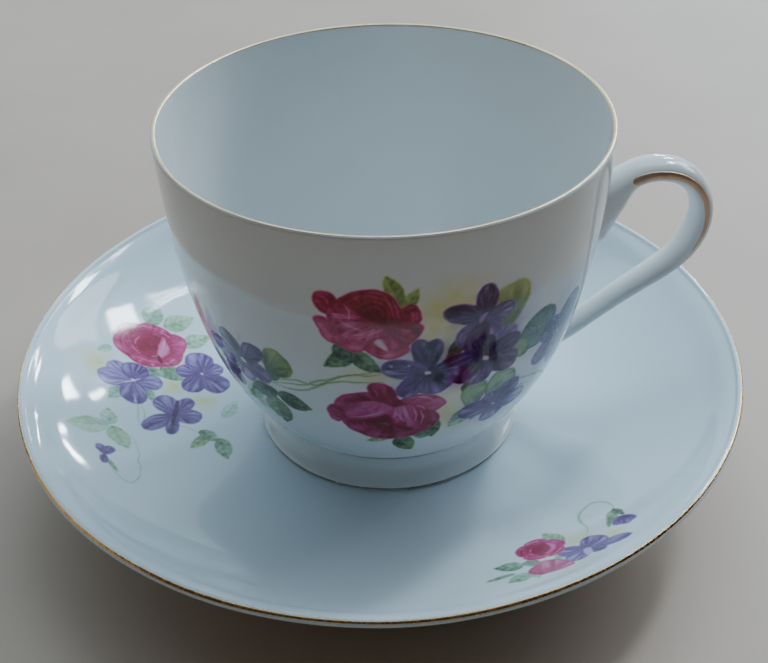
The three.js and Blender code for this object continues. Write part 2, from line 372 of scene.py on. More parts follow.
def gilding(name, glaze, colour, dull, wear, painted_back_reflection=0.0, satin=0.0):
    """Burnished gold, worn thin so that the glaze shows through in places. rub is how much more
    glaze shows through towards the back, a painted reflection in place of the whitish light
    that the gold mirrors there, and satin takes away some of its polish."""
    shader = Shader(name)
    streaky = shader.noise(1.1, 4.0, 0.65)
    patches = shader.math("MULTIPLY", shader.noise(7, 3.0), 0.9)
    split = shader.add("SeparateXYZ", {"Vector": shader.place})
    # Glaze in place of gold, more towards the back: painted reflection, the whitish light that the gold
    # mirrors there.
    back_reflection_share = shader.span(split.outputs["Y"], -50 * MM, 30 * MM, 0.0, painted_back_reflection)
    left = shader.math("SUBTRACT", shader.math("ADD", streaky, patches), back_reflection_share)
    worn = shader.ramp(left, (wear, 1.0), (wear + 0.07, 0.0))
    shade = shader.ramp(shader.noise(3.5, 3.0), (0.3, dull), (0.65, colour))
    shader.set(
        base_color=shader.mix(worn, shade, glaze_colour(shader, glaze)),
        metallic=shader.span(worn, 0.0, 1.0, 1.0, 0.0),
        roughness=shader.span(shader.noise(0.8, 3.0), 0.3, 0.7, 0.16 + satin, 0.36 + satin),
    )
    shader.bump(shader.noise(0.6, 2.0), 0.001)
    return shader.material


def enamel(name, glaze):
    """Four transparent enamel colours over the glaze. The mesh says how thick each one lies."""
    shader = Shader(name)
    layers = shader.add("Attribute", attribute_name="enamel")
    split = shader.add("SeparateColor", {"Color": layers.outputs["Color"]})
    grain = shader.span(shader.noise(0.32, 3.0, 0.6), 0.25, 0.75, 0.88, 1.12)
    wash = shader.span(shader.noise(2.2, 3.0), 0.3, 0.7, 0.93, 1.07)
    uneven = shader.math("MULTIPLY", grain, wash)
    colour = glaze_colour(shader, glaze)
    pigments = (
        (layers.outputs["Alpha"], ((0.45, (1.0, 0.92, 0.55)), (1.0, (0.95, 0.78, 0.22)))),
        (split.outputs["Blue"], ((0.3, (0.66, 0.83, 0.65)), (0.6, (0.30, 0.47, 0.29)),
                                 (0.85, (0.12, 0.18, 0.11)), (1.0, (0.05, 0.07, 0.045)))),
        (split.outputs["Green"], ((0.3, (0.53, 0.39, 0.74)), (0.6, (0.21, 0.10, 0.32)),
                                  (0.85, (0.072, 0.02, 0.115)), (1.0, (0.028, 0.007, 0.042)))),
        (split.outputs["Red"], ((0.3, (1.0, 0.37, 0.60)), (0.55, (0.84, 0.09, 0.29)),
                                (0.8, (0.46, 0.014, 0.075)), (1.0, (0.20, 0.003, 0.018)))),
    )
    for amount, stops in pigments:
        thickness = shader.math("MULTIPLY", amount, uneven)
        film = shader.ramp(thickness, (0.0, 1.0), *stops)
        colour = shader.mix(1.0, colour, film, "MULTIPLY")
    shader.set(base_color=colour)
    glaze_finish(shader, shader.span(shader.noise(1.3, 3.0), 0.3, 0.7, 0.07, 0.13))
    return shader.material


# --- the cup ---


def wall_at(t):
    """The bowl's wall thins from its foot to its lip."""
    return -(WALL + (2 * LIP_ROUND - WALL) * np.minimum(1, t * 1.6))


LIP_T = float(bowl_wall.at_height(CUP_HEIGHT - LIP_ROUND))
LIP_CENTRE = bowl_wall.offset(LIP_T, -LIP_ROUND)


def make_bowl(material):
    base = rows(np.linspace(0, 25, 6), BOWL_BOTTOM)
    outside = bowl_wall.point(np.linspace(0, LIP_T, 64))
    lip = arc(LIP_CENTRE, LIP_ROUND, 0, 180, 14)[1:-1]
    inner_t = np.linspace(LIP_T, 0.1, 58)
    inside = bowl_wall.offset(inner_t, wall_at(inner_t))
    slide = inside[-1] - inside[-2]
    corner = inside[-1] + slide * (BOWL_FLOOR - inside[-1][1]) / slide[1]
    floor = bend(inside[-1], corner, (0, BOWL_FLOOR), 26)[1:]
    points, faces = turned(np.vstack([base, outside, lip, inside, floor]), False)
    mesh_piece("bowl", on_cup(points), faces, material, "cup", ["cup_bowl"])


def foot_profile(outer, top, wall, height, spread):
    """Foot ring with a narrow tread, soft edges and a fillet outside up to the point spread."""
    return np.vstack([
        [(outer - wall + 0.7, 0), (outer - 0.7, 0)],
        bend((outer - 0.6, 0), (outer, 0), (outer, FOOT_EDGE), 5),
        bend((outer - 0.02, 0.8), (top + 0.2, height * 0.4), (top, height - 1.1), 8),
        bend((top, height - 1.0), (top + 0.05, height - 0.2), spread, 8),
        [(top - 0.6, height + 0.7), (top - wall - 1, height + 0.4)],
        bend((top - wall - 1.8, height), (top - wall - 0.5, height), (outer - wall - 0.7, height - 1.4), 6),
        bend((outer - wall, 0.9), (outer - wall, 0.1), (outer - wall + 0.6, 0), 4),
    ])


def make_cup_foot(material):
    top = CUP_FOOT_R - 3.3
    profile = foot_profile(CUP_FOOT_R, top, FOOT_WALL, BOWL_BOTTOM, (top + 0.35, BOWL_BOTTOM + 0.1))
    points, faces = turned(profile, True)
    mesh_piece("cup_foot", on_cup(points), faces, material, "cup", ["cup_foot_ring"])


# Centreline of the handle: distance from the cup's axis, and height.
HANDLE_LINE = np.array([
    (38.5, 44.6), (43.5, 48.4), (47, 51.8), (51.6, 53.3), (57, 52.2), (61, 48.3), (62.4, 42.5),
    (60.8, 36.5), (56.5, 31.3), (49, 25.8), (41.3, 19.8), (35.5, 16), (28, 13.5),
])


def spline_slopes(points):
    """Slopes that make a cubic curve through points as smooth as it can be."""
    count = len(points)
    matrix = np.diag([2.0] + [4.0] * (count - 2) + [2.0])
    matrix += np.diag([1.0] * (count - 1), 1) + np.diag([1.0] * (count - 1), -1)
    right = np.vstack([points[1] - points[0], points[2:] - points[:-2], points[-1] - points[-2]])
    return np.linalg.solve(matrix, 3 * right)


HANDLE_SLOPES = spline_slopes(HANDLE_LINE)


def handle_line(t):
    """Point of the handle's centreline and the direction along it, t from 0 to 1."""
    place = np.clip(np.asarray(t, float), 0, 1) * (len(HANDLE_LINE) - 1)
    index = np.minimum(place.astype(int), len(HANDLE_LINE) - 2)
    s = (place - index)[..., None]
    a, b = HANDLE_LINE[index], HANDLE_LINE[index + 1]
    u, v = HANDLE_SLOPES[index], HANDLE_SLOPES[index + 1]
    c = 3 * (b - a) - 2 * u - v
    d = 2 * (a - b) + u + v
    along = u + 2 * c * s + 3 * d * s**2
    return a + u * s + c * s**2 + d * s**3, along / np.linalg.norm(along, axis=-1, keepdims=True)


def handle_skin(t, angle, lift):
    """Point on the handle's skin: angle runs round it from the +Y side towards the outside."""
    centre, along = handle_line(t)
    upper = np.maximum(0, 1 - t / 0.2) ** 2
    slim = smooth((t - 0.5) / 0.35)
    lower = np.maximum(0, (t - 0.8) / 0.2) ** 2
    width = 3.8 + 1.1 * upper - 0.9 * slim + 0.8 * lower + lift
    thickness = 2.2 + 6 * upper - 0.45 * slim + 1.4 * lower + lift
    outward = thickness * np.sin(angle)
    return rows(centre[..., 0] - along[..., 1] * outward, width * np.cos(angle),
                centre[..., 1] + along[..., 0] * outward)


def outside_bowl(points):
    """How far points are outside the bowl, measured level."""
    surface = bowl_wall.point(bowl_wall.at_height(points[..., 2]))[..., 0]
    return np.hypot(points[..., 0], points[..., 1]) - surface


def onto_bowl(points, sink):
    """Moves points straight in or out to the bowl's surface, or a little below it."""
    share = 1 - (outside_bowl(points) + sink) / np.hypot(points[..., 0], points[..., 1])
    return rows(points[..., 0] * share, points[..., 1] * share, points[..., 2])


FILLET = 1.5                     # how far the slip fillet reaches each way from a root
SMALL_T = 0.001                  # a short step along the handle


def root_rings(angles, ends):
    """Rings from just inside the bowl, over the fillet, to the bare handle. ends are two
    values of t: inside the bowl's wall, and well outside it."""
    inside = np.full(angles.shape, float(ends[0]))
    outside = np.full(angles.shape, float(ends[1]))
    for _ in range(30):
        middle = (inside + outside) / 2
        buried = outside_bowl(handle_skin(middle, angles, 0)) < 0
        inside = np.where(buried, middle, inside)
        outside = np.where(buried, outside, middle)
    crossing = handle_skin(inside, angles, 0)
    stride = np.linalg.norm(handle_skin(inside + SMALL_T, angles, 0) - crossing, axis=-1)
    step = FILLET / stride * SMALL_T
    leave = inside + math.copysign(1, ends[1] - ends[0]) * step
    top = handle_skin(leave, angles, 0)
    middle_of_root = crossing.mean(axis=0)
    away = crossing - middle_of_root
    away = away / np.linalg.norm(away, axis=-1, keepdims=True)
    spread = onto_bowl(crossing + FILLET * away, 0.01)
    fillet = bend(spread, crossing, top, 8)
    buried = onto_bowl(crossing + 0.6 * FILLET * away, 0.6)
    return np.concatenate([buried[None], fillet]), leave


def make_handle(material):
    sides = 72
    angles = np.arange(sides) * 2 * math.pi / sides
    upper, upper_t = root_rings(angles, (0.0, 0.2))
    lower, lower_t = root_rings(angles, (1.0, 0.8))
    share = np.linspace(0, 1, 170)[1:-1, None]
    bar = handle_skin(upper_t + (lower_t - upper_t) * share, angles, 0)
    rings = np.concatenate([upper, bar, lower[::-1]])
    points = rings.reshape(-1, 3)
    faces = grid_faces(len(rings), sides, False, True)
    faces.append(tuple(range(sides)))
    faces.append(tuple(range(len(points) - 1, len(points) - 1 - sides, -1)))
    mesh_piece("handle", on_cup(points), faces, material, "cup", ["cup_handle"])


# --- gilding ---


def film(count_u, count_v, wrap_u, skin, thickness):
    """A thin closed shell on a surface. skin(u, v, lift) gives its points, u and v from 0 to 1."""
    u = np.arange(count_u)[:, None] / (count_u if wrap_u else count_u - 1)
    v = np.arange(count_v)[None, :] / (count_v - 1)
    crown = np.sqrt(np.maximum(0, 1 - (2 * v - 1) ** 8))
    over = skin(u, v, thickness * crown)
    under = skin(u, v[:, 1:-1], np.full((1, count_v - 2), -thickness))
    ring = np.concatenate([over, under[:, ::-1]], axis=1)
    faces = grid_faces(count_u, ring.shape[1], wrap_u, True)
    if not wrap_u:
        around = ring.shape[1]
        faces.append(tuple(range(around - 1, -1, -1)))
        faces.append(tuple(range((count_u - 1) * around, count_u * around)))
    return ring.reshape(-1, 3), faces


def lip_skin(centre, radius, start, end, waver, thin=0):
    """Skin of a band of gold on a rounded lip, between two angles in degrees that waver. It
    is narrower by up to 2 * thin degrees towards the back."""
    def skin(u, v, lift):
        azimuth = 2 * math.pi * u
        low = start + waver * ripple(azimuth, 3.0, 21, 14)
        high = end + waver * ripple(azimuth, 9.0, 22, 14) - thin * (1 - np.cos(azimuth + 1.9))
        angle = np.radians(low + (high - low) * v)
        reach = centre[0] + (radius + lift) * np.cos(angle)
        return around(reach, azimuth, centre[1] + (radius + lift) * np.sin(angle))
    return skin


def make_cup_edge(material):
    skin = lip_skin(LIP_CENTRE, LIP_ROUND, 60, 150, 4)
    points, faces = film(2 * TURN_STEPS, 11, True, skin, GOLD_FILM)
    mesh_piece("cup_edge_gold", on_cup(points), faces, material, "cup", ["cup_rim_gilding"])


def make_foot_line(material):
    def skin(u, v, lift):
        azimuth = 2 * math.pi * u
        height = 0.28 + 0.4 * v + 0.05 * ripple(azimuth, 2.0, 23, 12)
        edge = np.sqrt(np.maximum(0, 1 - (1 - np.minimum(height / FOOT_EDGE, 1)) ** 2))
        return around(CUP_FOOT_R - 0.6 + 0.6 * edge + lift, azimuth, height)
    points, faces = film(TURN_STEPS, 7, True, skin, GOLD_FILM)
    mesh_piece("foot_line_gold", on_cup(points), faces, material, "cup", ["cup_foot_gilding"])


def make_handle_stroke(side, name, node, material):
    def skin(u, v, lift):
        t = 0.17 + 0.42 * u
        middle = 0.12 - 0.1 * u
        blunt = np.sqrt(np.clip(1 - (1 - u / 0.06) ** 2, 0, 1)) * (u < 0.06) + (u >= 0.06)
        half = 0.44 * (0.04 + 0.96 * blunt * np.clip(1.02 - u, 0, 1) ** 0.6)
        hook = 0.1 * np.exp(-((u / 0.05) ** 2))
        angle = middle + hook - side * (2 * v - 1) * half
        point = handle_skin(t, angle, lift)
        return point * np.array((1, side, 1))
    points, faces = film(120, 13, False, skin, GOLD_FILM)
    mesh_piece(name, on_cup(points), faces, material, "cup", [node])


# --- the saucer ---


def make_plate(material):
    centre = np.array((SAUCER_R - SAUCER_LIP_ROUND, SAUCER_TOP - SAUCER_LIP_ROUND))
    under = rows(np.linspace(0, SAUCER_SEAT_R - 1, 9), SAUCER_SEAT_Z)
    belly = saucer_belly.point(np.linspace(0, saucer_belly.at_radius(centre[0] + 0.44), 40))
    lip = arc(centre, SAUCER_LIP_ROUND, -48, 132, 18)
    slope = saucer_slope.point(np.linspace(saucer_slope.at_radius(centre[0] - 0.56), 0, 60))
    well = rows(np.linspace(WELL_R - 3, 0, 9), WELL_Z)
    points, faces = turned(np.vstack([under, belly, lip, slope, well]), False)
    mesh_piece("plate", saucer_shape(points), faces, material, "saucer", ["saucer_plate"])


def make_saucer_foot(material):
    spread = saucer_belly.offset(0.02, -0.01)
    profile = foot_profile(SAUCER_FOOT_R, SAUCER_FOOT_R, FOOT_WALL, SAUCER_SEAT_Z, spread)
    points, faces = turned(profile, True)
    mesh_piece("saucer_foot", saucer_shape(points), faces, material, "saucer",
               ["saucer_foot_ring"])


def make_saucer_edge(material):
    centre = (SAUCER_R - SAUCER_LIP_ROUND, SAUCER_TOP - SAUCER_LIP_ROUND)
    skin = lip_skin(centre, SAUCER_LIP_ROUND, 36, 80, 3, 4)
    points, faces = film(2 * TURN_STEPS, 11, True, skin, GOLD_FILM)
    mesh_piece("saucer_edge_gold", saucer_shape(points), faces, material, "saucer",
               ["saucer_rim_gilding"])


# --- painted enamel ---

PIGMENTS = ("rose", "violet", "leaf", "yellow")
SOFT = 0.28                      # half width of a painted edge


def value_noise(x, y, seed):
    """Smooth noise from -1 to 1 whose lumps are about one unit across."""
    table = np.random.default_rng(seed).uniform(-1, 1, (64, 64))
    i = np.floor(x).astype(int)
    j = np.floor(y).astype(int)
    u = smooth(x - i)
    v = smooth(y - j)
    near = table[i % 64, j % 64] * (1 - v) + table[i % 64, (j + 1) % 64] * v
    far = table[(i + 1) % 64, j % 64] * (1 - v) + table[(i + 1) % 64, (j + 1) % 64] * v
    return near * (1 - u) + far * u


def through(corners, closed, steps=5):
    """A smooth line through a few points."""
    corners = np.array(corners, float)
    if closed:
        p = np.vstack([corners[-1:], corners, corners[:2]])
    else:
        p = np.vstack([2 * corners[:1] - corners[1:2], corners, 2 * corners[-1:] - corners[-2:-1]])
    t = (np.arange(steps) / steps)[:, None, None]
    a, b, c, d = p[:-3], p[1:-2], p[2:-1], p[3:]
    line = (b + 0.5 * (c - a) * t + (a - 2.5 * b + 2 * c - 0.5 * d) * t**2
            + (1.5 * (b - c) + 0.5 * (d - a)) * t**3)
    line = line.transpose(1, 0, 2).reshape(-1, 2)
    return line if closed else np.vstack([line, corners[-1:]])


def nearest(x, y, line, closed):
    """How far cells are from a line, where along it (0 to 1) they are nearest, and which
    cells a closed line holds."""
    ends = np.roll(line, -1, 0) if closed else line[1:]
    best = np.full(x.shape, 1e9)
    place = np.zeros(x.shape)
    held = np.zeros(x.shape, bool)
    for index, ((ax, ay), (bx, by)) in enumerate(zip(line, ends)):
        dx, dy = bx - ax, by - ay
        share = np.clip(((x - ax) * dx + (y - ay) * dy) / max(dx * dx + dy * dy, 1e-9), 0, 1)
        distance = np.hypot(x - ax - share * dx, y - ay - share * dy)
        nearer = distance < best
        best = np.where(nearer, distance, best)
        place = np.where(nearer, (index + share) / len(ends), place)
        if abs(dy) > 1e-9:
            held ^= ((ay > y) != (by > y)) & (x < dx * (y - ay) / dy + ax)
    return best, place, held


def egg(root, angle, length, width):
    """Outline of a petal that leaves root at an angle in degrees and widens towards its tip."""
    turn = np.arange(12) * 2 * math.pi / 12
    along = length * (1 - np.cos(turn)) / 2
    across = width / 2 * np.sin(turn) * (0.88 + 0.3 * (1 - np.cos(turn)) / 2)
    a = math.radians(angle)
    return rows(root[0] + along * math.cos(a) - across * math.sin(a),
                root[1] + along * math.sin(a) + across * math.cos(a))


class Canvas:
    """A patch of glaze, and how thick four enamel colours lie on each of its cells."""

    def __init__(self, left, right, low, high, seed):
        across = np.arange(left, right, CELL)
        upwards = np.arange(low, high, CELL)
        self.x, self.y = np.meshgrid(across, upwards, indexing="ij")
        self.amount = np.zeros(self.x.shape + (len(PIGMENTS),))
        self.seed = seed
        coarse = (self.x / 2.3, self.y / 2.3)
        fine = (self.x / 0.7, self.y / 0.7)
        self.hand_x = self.x + 0.22 * value_noise(*coarse, seed) + 0.07 * value_noise(*fine, seed + 1)
        self.hand_y = self.y + 0.22 * value_noise(*coarse, seed + 2) + 0.07 * value_noise(*fine, seed + 3)

    def window(self, points, margin):
        """The cells near some points, and the unsteady hand's coordinates there."""
        low = (np.min(points, axis=0) - margin - (self.x[0, 0], self.y[0, 0])) / CELL
        high = (np.max(points, axis=0) + margin - (self.x[0, 0], self.y[0, 0])) / CELL
        low = np.maximum(low, 0).astype(int)
        high = np.maximum(high, 0).astype(int)
        view = np.s_[low[0]:high[0], low[1]:high[1]]
        return view, self.hand_x[view], self.hand_y[view]

    def lay(self, view, mask, amounts):
        """Covers what is there, where mask is 1, with these amounts of enamel."""
        for index, pigment in enumerate(PIGMENTS):
            layer = self.amount[view][..., index]
            layer += mask * (np.clip(amounts.get(pigment, 0), 0, 1) - layer)

    def wash(self, centre, radii, **amounts):
        """A soft tint over what is there."""
        reach = np.hypot((self.x - centre[0]) / radii[0], (self.y - centre[1]) / radii[1])
        mottle = 1 + 0.35 * value_noise(self.x / 1.7, self.y / 1.7, self.seed + 5)
        for pigment, amount in amounts.items():
            layer = self.amount[..., PIGMENTS.index(pigment)]
            layer += amount * mottle * np.exp(-(reach**2) * 1.4) * (1 - smooth(reach - 1))

    def petal(self, outline, root, pigment, deep, pale, rim=None, streaks=0.12, soft=SOFT, **others):
        """One petal: deep at its root, pale at its far end, and rim thick along its edge.
        streaks says how uneven it is, soft how blurred its edge, and others what it covers with
        besides its own pigment."""
        loop = through(outline, True)
        view, x, y = self.window(loop, 0.8)
        distance, _, held = nearest(x, y, loop, True)
        depth = np.where(held, distance, -distance)
        reach = np.hypot(x - root[0], y - root[1])
        spread = np.hypot(loop[:, 0] - root[0], loop[:, 1] - root[1])
        share = smooth((reach - spread.min()) / (spread.max() - spread.min()))
        angle = np.arctan2(y - root[1], x - root[0])
        thick = deep + (pale - deep) * share
        thick = thick + streaks * value_noise(angle * 9, reach * 0.3, self.seed + 6) * (0.4 + share)
        if rim is not None:
            thick = thick + (rim - thick) * np.exp(-((np.maximum(depth, 0) / 0.38) ** 2))
        self.lay(view, smooth((depth + soft) / (2 * soft)), {pigment: thick, **others})

    def stroke(self, corners, width, strength=0.8, **amounts):
        """A line of the brush that thins towards both ends."""
        line = through(corners, False)
        view, x, y = self.window(line, width)
        distance, place, _ = nearest(x, y, line, False)
        half = width / 2 * (0.3 + 0.7 * np.sin(math.pi * place) ** 0.7)
        self.lay(view, strength * smooth((half - distance) / 0.24 + 0.5), amounts)

    def leaf(self, stalk, tip, width, deep, pale, yellow=0.1, curve=0.0):
        """A pointed leaf with veins, bent sideways by curve."""
        axis = np.array(tip, float) - stalk
        length = math.hypot(*axis)
        axis = axis / length
        side = np.array((-axis[1], axis[0]))
        share = np.array((0, 0.12, 0.3, 0.52, 0.76, 0.92, 1))
        half = width / 2 * np.array((0, 0.62, 0.97, 1, 0.66, 0.26, 0))
        spine = np.array(stalk) + np.outer(share * length, axis)
        spine = spine + np.outer(curve * np.sin(math.pi * share), side)
        outline = np.vstack([spine + np.outer(half, side), (spine - np.outer(half, side))[-2:0:-1]])
        loop = through(outline, True, 3)
        view, x, y = self.window(loop, 0.8)
        distance, _, held = nearest(x, y, loop, True)
        depth = np.where(held, distance, -distance)
        along = (x - stalk[0]) * axis[0] + (y - stalk[1]) * axis[1]
        across = (x - stalk[0]) * side[0] + (y - stalk[1]) * side[1]
        across = across - curve * np.sin(math.pi * np.clip(along / length, 0, 1))
        shade = smooth(along / length) + 0.25 * np.sign(across)
        thick = deep + (pale - deep) * np.clip(shade, 0, 1)
        ribs = np.cos(2 * math.pi * (along - 0.8 * np.abs(across)) / 1.5)
        thick = thick + 0.05 * ribs + 0.12 * value_noise(x / 0.9, y / 0.9, self.seed + 7)
        thick = thick + 0.1 * np.exp(-((across / 0.2) ** 2))
        thick = thick + 0.12 * np.exp(-((np.maximum(depth, 0) / 0.3) ** 2)) + 0.04
        self.lay(view, smooth((depth + SOFT) / (2 * SOFT)), {"leaf": thick, "yellow": yellow})

    def leaves(self, *table):
        """Leaves are (stalk, tip, width, deep, pale, yellow), and some have a curve as well."""
        for leaf in table:
            self.leaf(*leaf)

    def violet(self, centre, petals, eye=0.5, **others):
        """A violet from (angle, length, width, deep, pale) petals, with a pale eye."""
        for angle, length, width, deep, pale in petals:
            outline = egg(centre, angle, length, width)
            rim = min(1, pale + 0.18)
            self.petal(outline, centre, "violet", deep + 0.03, pale + 0.05, rim, 0.22, **others)
            for turn in (-7, 0, 8):
                a = math.radians(angle + turn)
                far = (centre[0] + 0.6 * length * math.cos(a), centre[1] + 0.6 * length * math.sin(a))
                self.stroke([centre, far], 0.2, 0.4, violet=min(1, deep + 0.12), rose=0.2)
        if eye > 0:
            self.stroke([(centre[0] - 0.8 * eye, centre[1] + 0.5 * eye),
                         (centre[0] + 0.8 * eye, centre[1] - 0.5 * eye)], 1.5 * eye, 0.85, yellow=0.35)


# The garland's coordinates: millimetres round the bowl, where its radius is taken as
# GARLAND_R, from the point of the rim at azimuth -90 degrees, and height above the foot.
GARLAND_R = 38.0


def paint_upper_rose(canvas):
    """Crimson rose with a maroon heart. Petals are (outline, deep, pale, rim)."""
    heart = (-5.2, 52.5)
    petals = (
        ([(-14.6, 55.4), (-13.9, 57.2), (-12.2, 57.3), (-11.0, 55.8), (-11.3, 53), (-13.6, 52.7)],
         0.86, 0.60, 0.82),
        ([(0.3, 55.2), (1.4, 53.8), (1.6, 51.5), (0.5, 49.8), (-1.8, 50), (-2.2, 53), (-1, 54.4)],
         0.95, 0.86, 0.92),
        ([(-12.2, 54.6), (-9, 57.5), (-5.6, 58.3), (-3, 57.2), (-1.3, 54.7), (-0.7, 51), (-2.3, 48),
          (-6, 46.3), (-9.5, 46.8), (-12.2, 49.5), (-12.7, 52.5)], 0.94, 0.68, 0.8),
        ([(-15.1, 51), (-14.3, 51.9), (-12.6, 51.5), (-11, 49), (-10.2, 46.5), (-12, 46.2),
          (-13.5, 47.4), (-14.3, 49.3)], 0.72, 0.48, 0.8),
        ([(-1.4, 45.4), (0.8, 47), (2, 49.5), (1, 50.8), (-1, 50.7), (-3.2, 48.4)], 0.92, 0.82, 0.9),
        ([(-12.1, 46.9), (-10.5, 45.2), (-8.6, 44.4), (-7.2, 45.2), (-5.8, 47), (-9, 48.9),
          (-11.5, 48.6)], 0.76, 0.58, 0.78),
        ([(-7.3, 45.7), (-5.5, 43.6), (-3, 43.1), (-1, 43.9), (0.2, 45.5), (-1.8, 47.6), (-5, 47.9)],
         0.74, 0.56, 0.78),
    )
    for outline, deep, pale, rim in petals:
        canvas.petal(outline, heart, "rose", deep, pale, rim, 0.18, yellow=0.08)
    canvas.petal([(-9.2, 56.4), (-5.2, 57.2), (-2.8, 55.8), (-1.9, 52.5), (-3.4, 50.2), (-6.2, 50.9),
                  (-8.6, 53.4)], (-5.3, 51.8), "rose", 0.97, 0.8, None, 0.1, 0.9, yellow=0.3)
    for line in ([(-9.6, 55.4), (-7.2, 56.9), (-4.4, 56.4), (-2.6, 54.4), (-2.1, 51.6)],
                 [(-8.4, 54.4), (-6.4, 55.7), (-4.2, 55.2), (-3.1, 53.2), (-3.2, 51.2)],
                 [(-7.1, 53.6), (-5.7, 54.6), (-4.4, 53.8), (-4.1, 52.2)]):
        canvas.stroke(line, 0.55, 0.45, rose=0.62)
    front = [(-11.2, 54.6), (-9.7, 55.4), (-8.3, 53.4), (-6, 51.2), (-3.8, 50.4), (-4.7, 48.2),
             (-7.5, 46.9), (-10, 47.5), (-11.7, 49.6), (-12, 52.6)]
    canvas.petal(front, (-5.2, 51.8), "rose", 0.8, 0.54, 0.64, 0.24, 0.9)
    canvas.petal([(-4.2, 49.8), (-2.6, 50.5), (0.4, 49.5), (-0.3, 46.8), (-2.3, 45), (-4, 45.3),
                  (-3.2, 47.8)], (-3.8, 50.5), "rose", 0.86, 0.68, 0.78, 0.2, 0.6)
    for line in ([(-9.8, 55), (-9.3, 53.6), (-9.4, 51.6)], [(-10.8, 52.9), (-9.5, 52.3), (-7.6, 52.3)],
                 [(-10.9, 51.5), (-9.5, 50.3), (-7.5, 49.6)], [(-8.1, 47.9), (-6.4, 48.7), (-4.4, 50.1)],
                 [(-8.8, 48.6), (-7.2, 48.9), (-5.6, 49.9)]):
        canvas.stroke(line, 0.5, 0.6, rose=0.28)
    for line in ([(-2.6, 56.2), (-1.9, 54.2), (-1.6, 51.9)], [(-3.9, 57), (-2.9, 55), (-2.5, 53)],
                 [(-6.6, 57.6), (-5, 57.6), (-3.7, 56.9)], [(-0.3, 53.9), (0.3, 52.6), (0.3, 51.2)],
                 [(-13.4, 56.2), (-12.6, 55.8), (-12.4, 54.6)],
                 [(-13.6, 49.9), (-12.6, 48.4), (-11.5, 47.6)],
                 [(-6.3, 44.5), (-4.3, 44), (-2.3, 44.4)], [(-10, 46), (-8.7, 45.6), (-7.6, 46.2)]):
        canvas.stroke(line, 0.42, 0.45, rose=0.4)
    canvas.petal([(-4.9, 47.9), (-4.1, 47.1), (-3.4, 45.1), (-4.6, 45.9), (-5.6, 47.1)], (-5, 48),
                 "rose", 0.16, 0.1, None, 0.05)


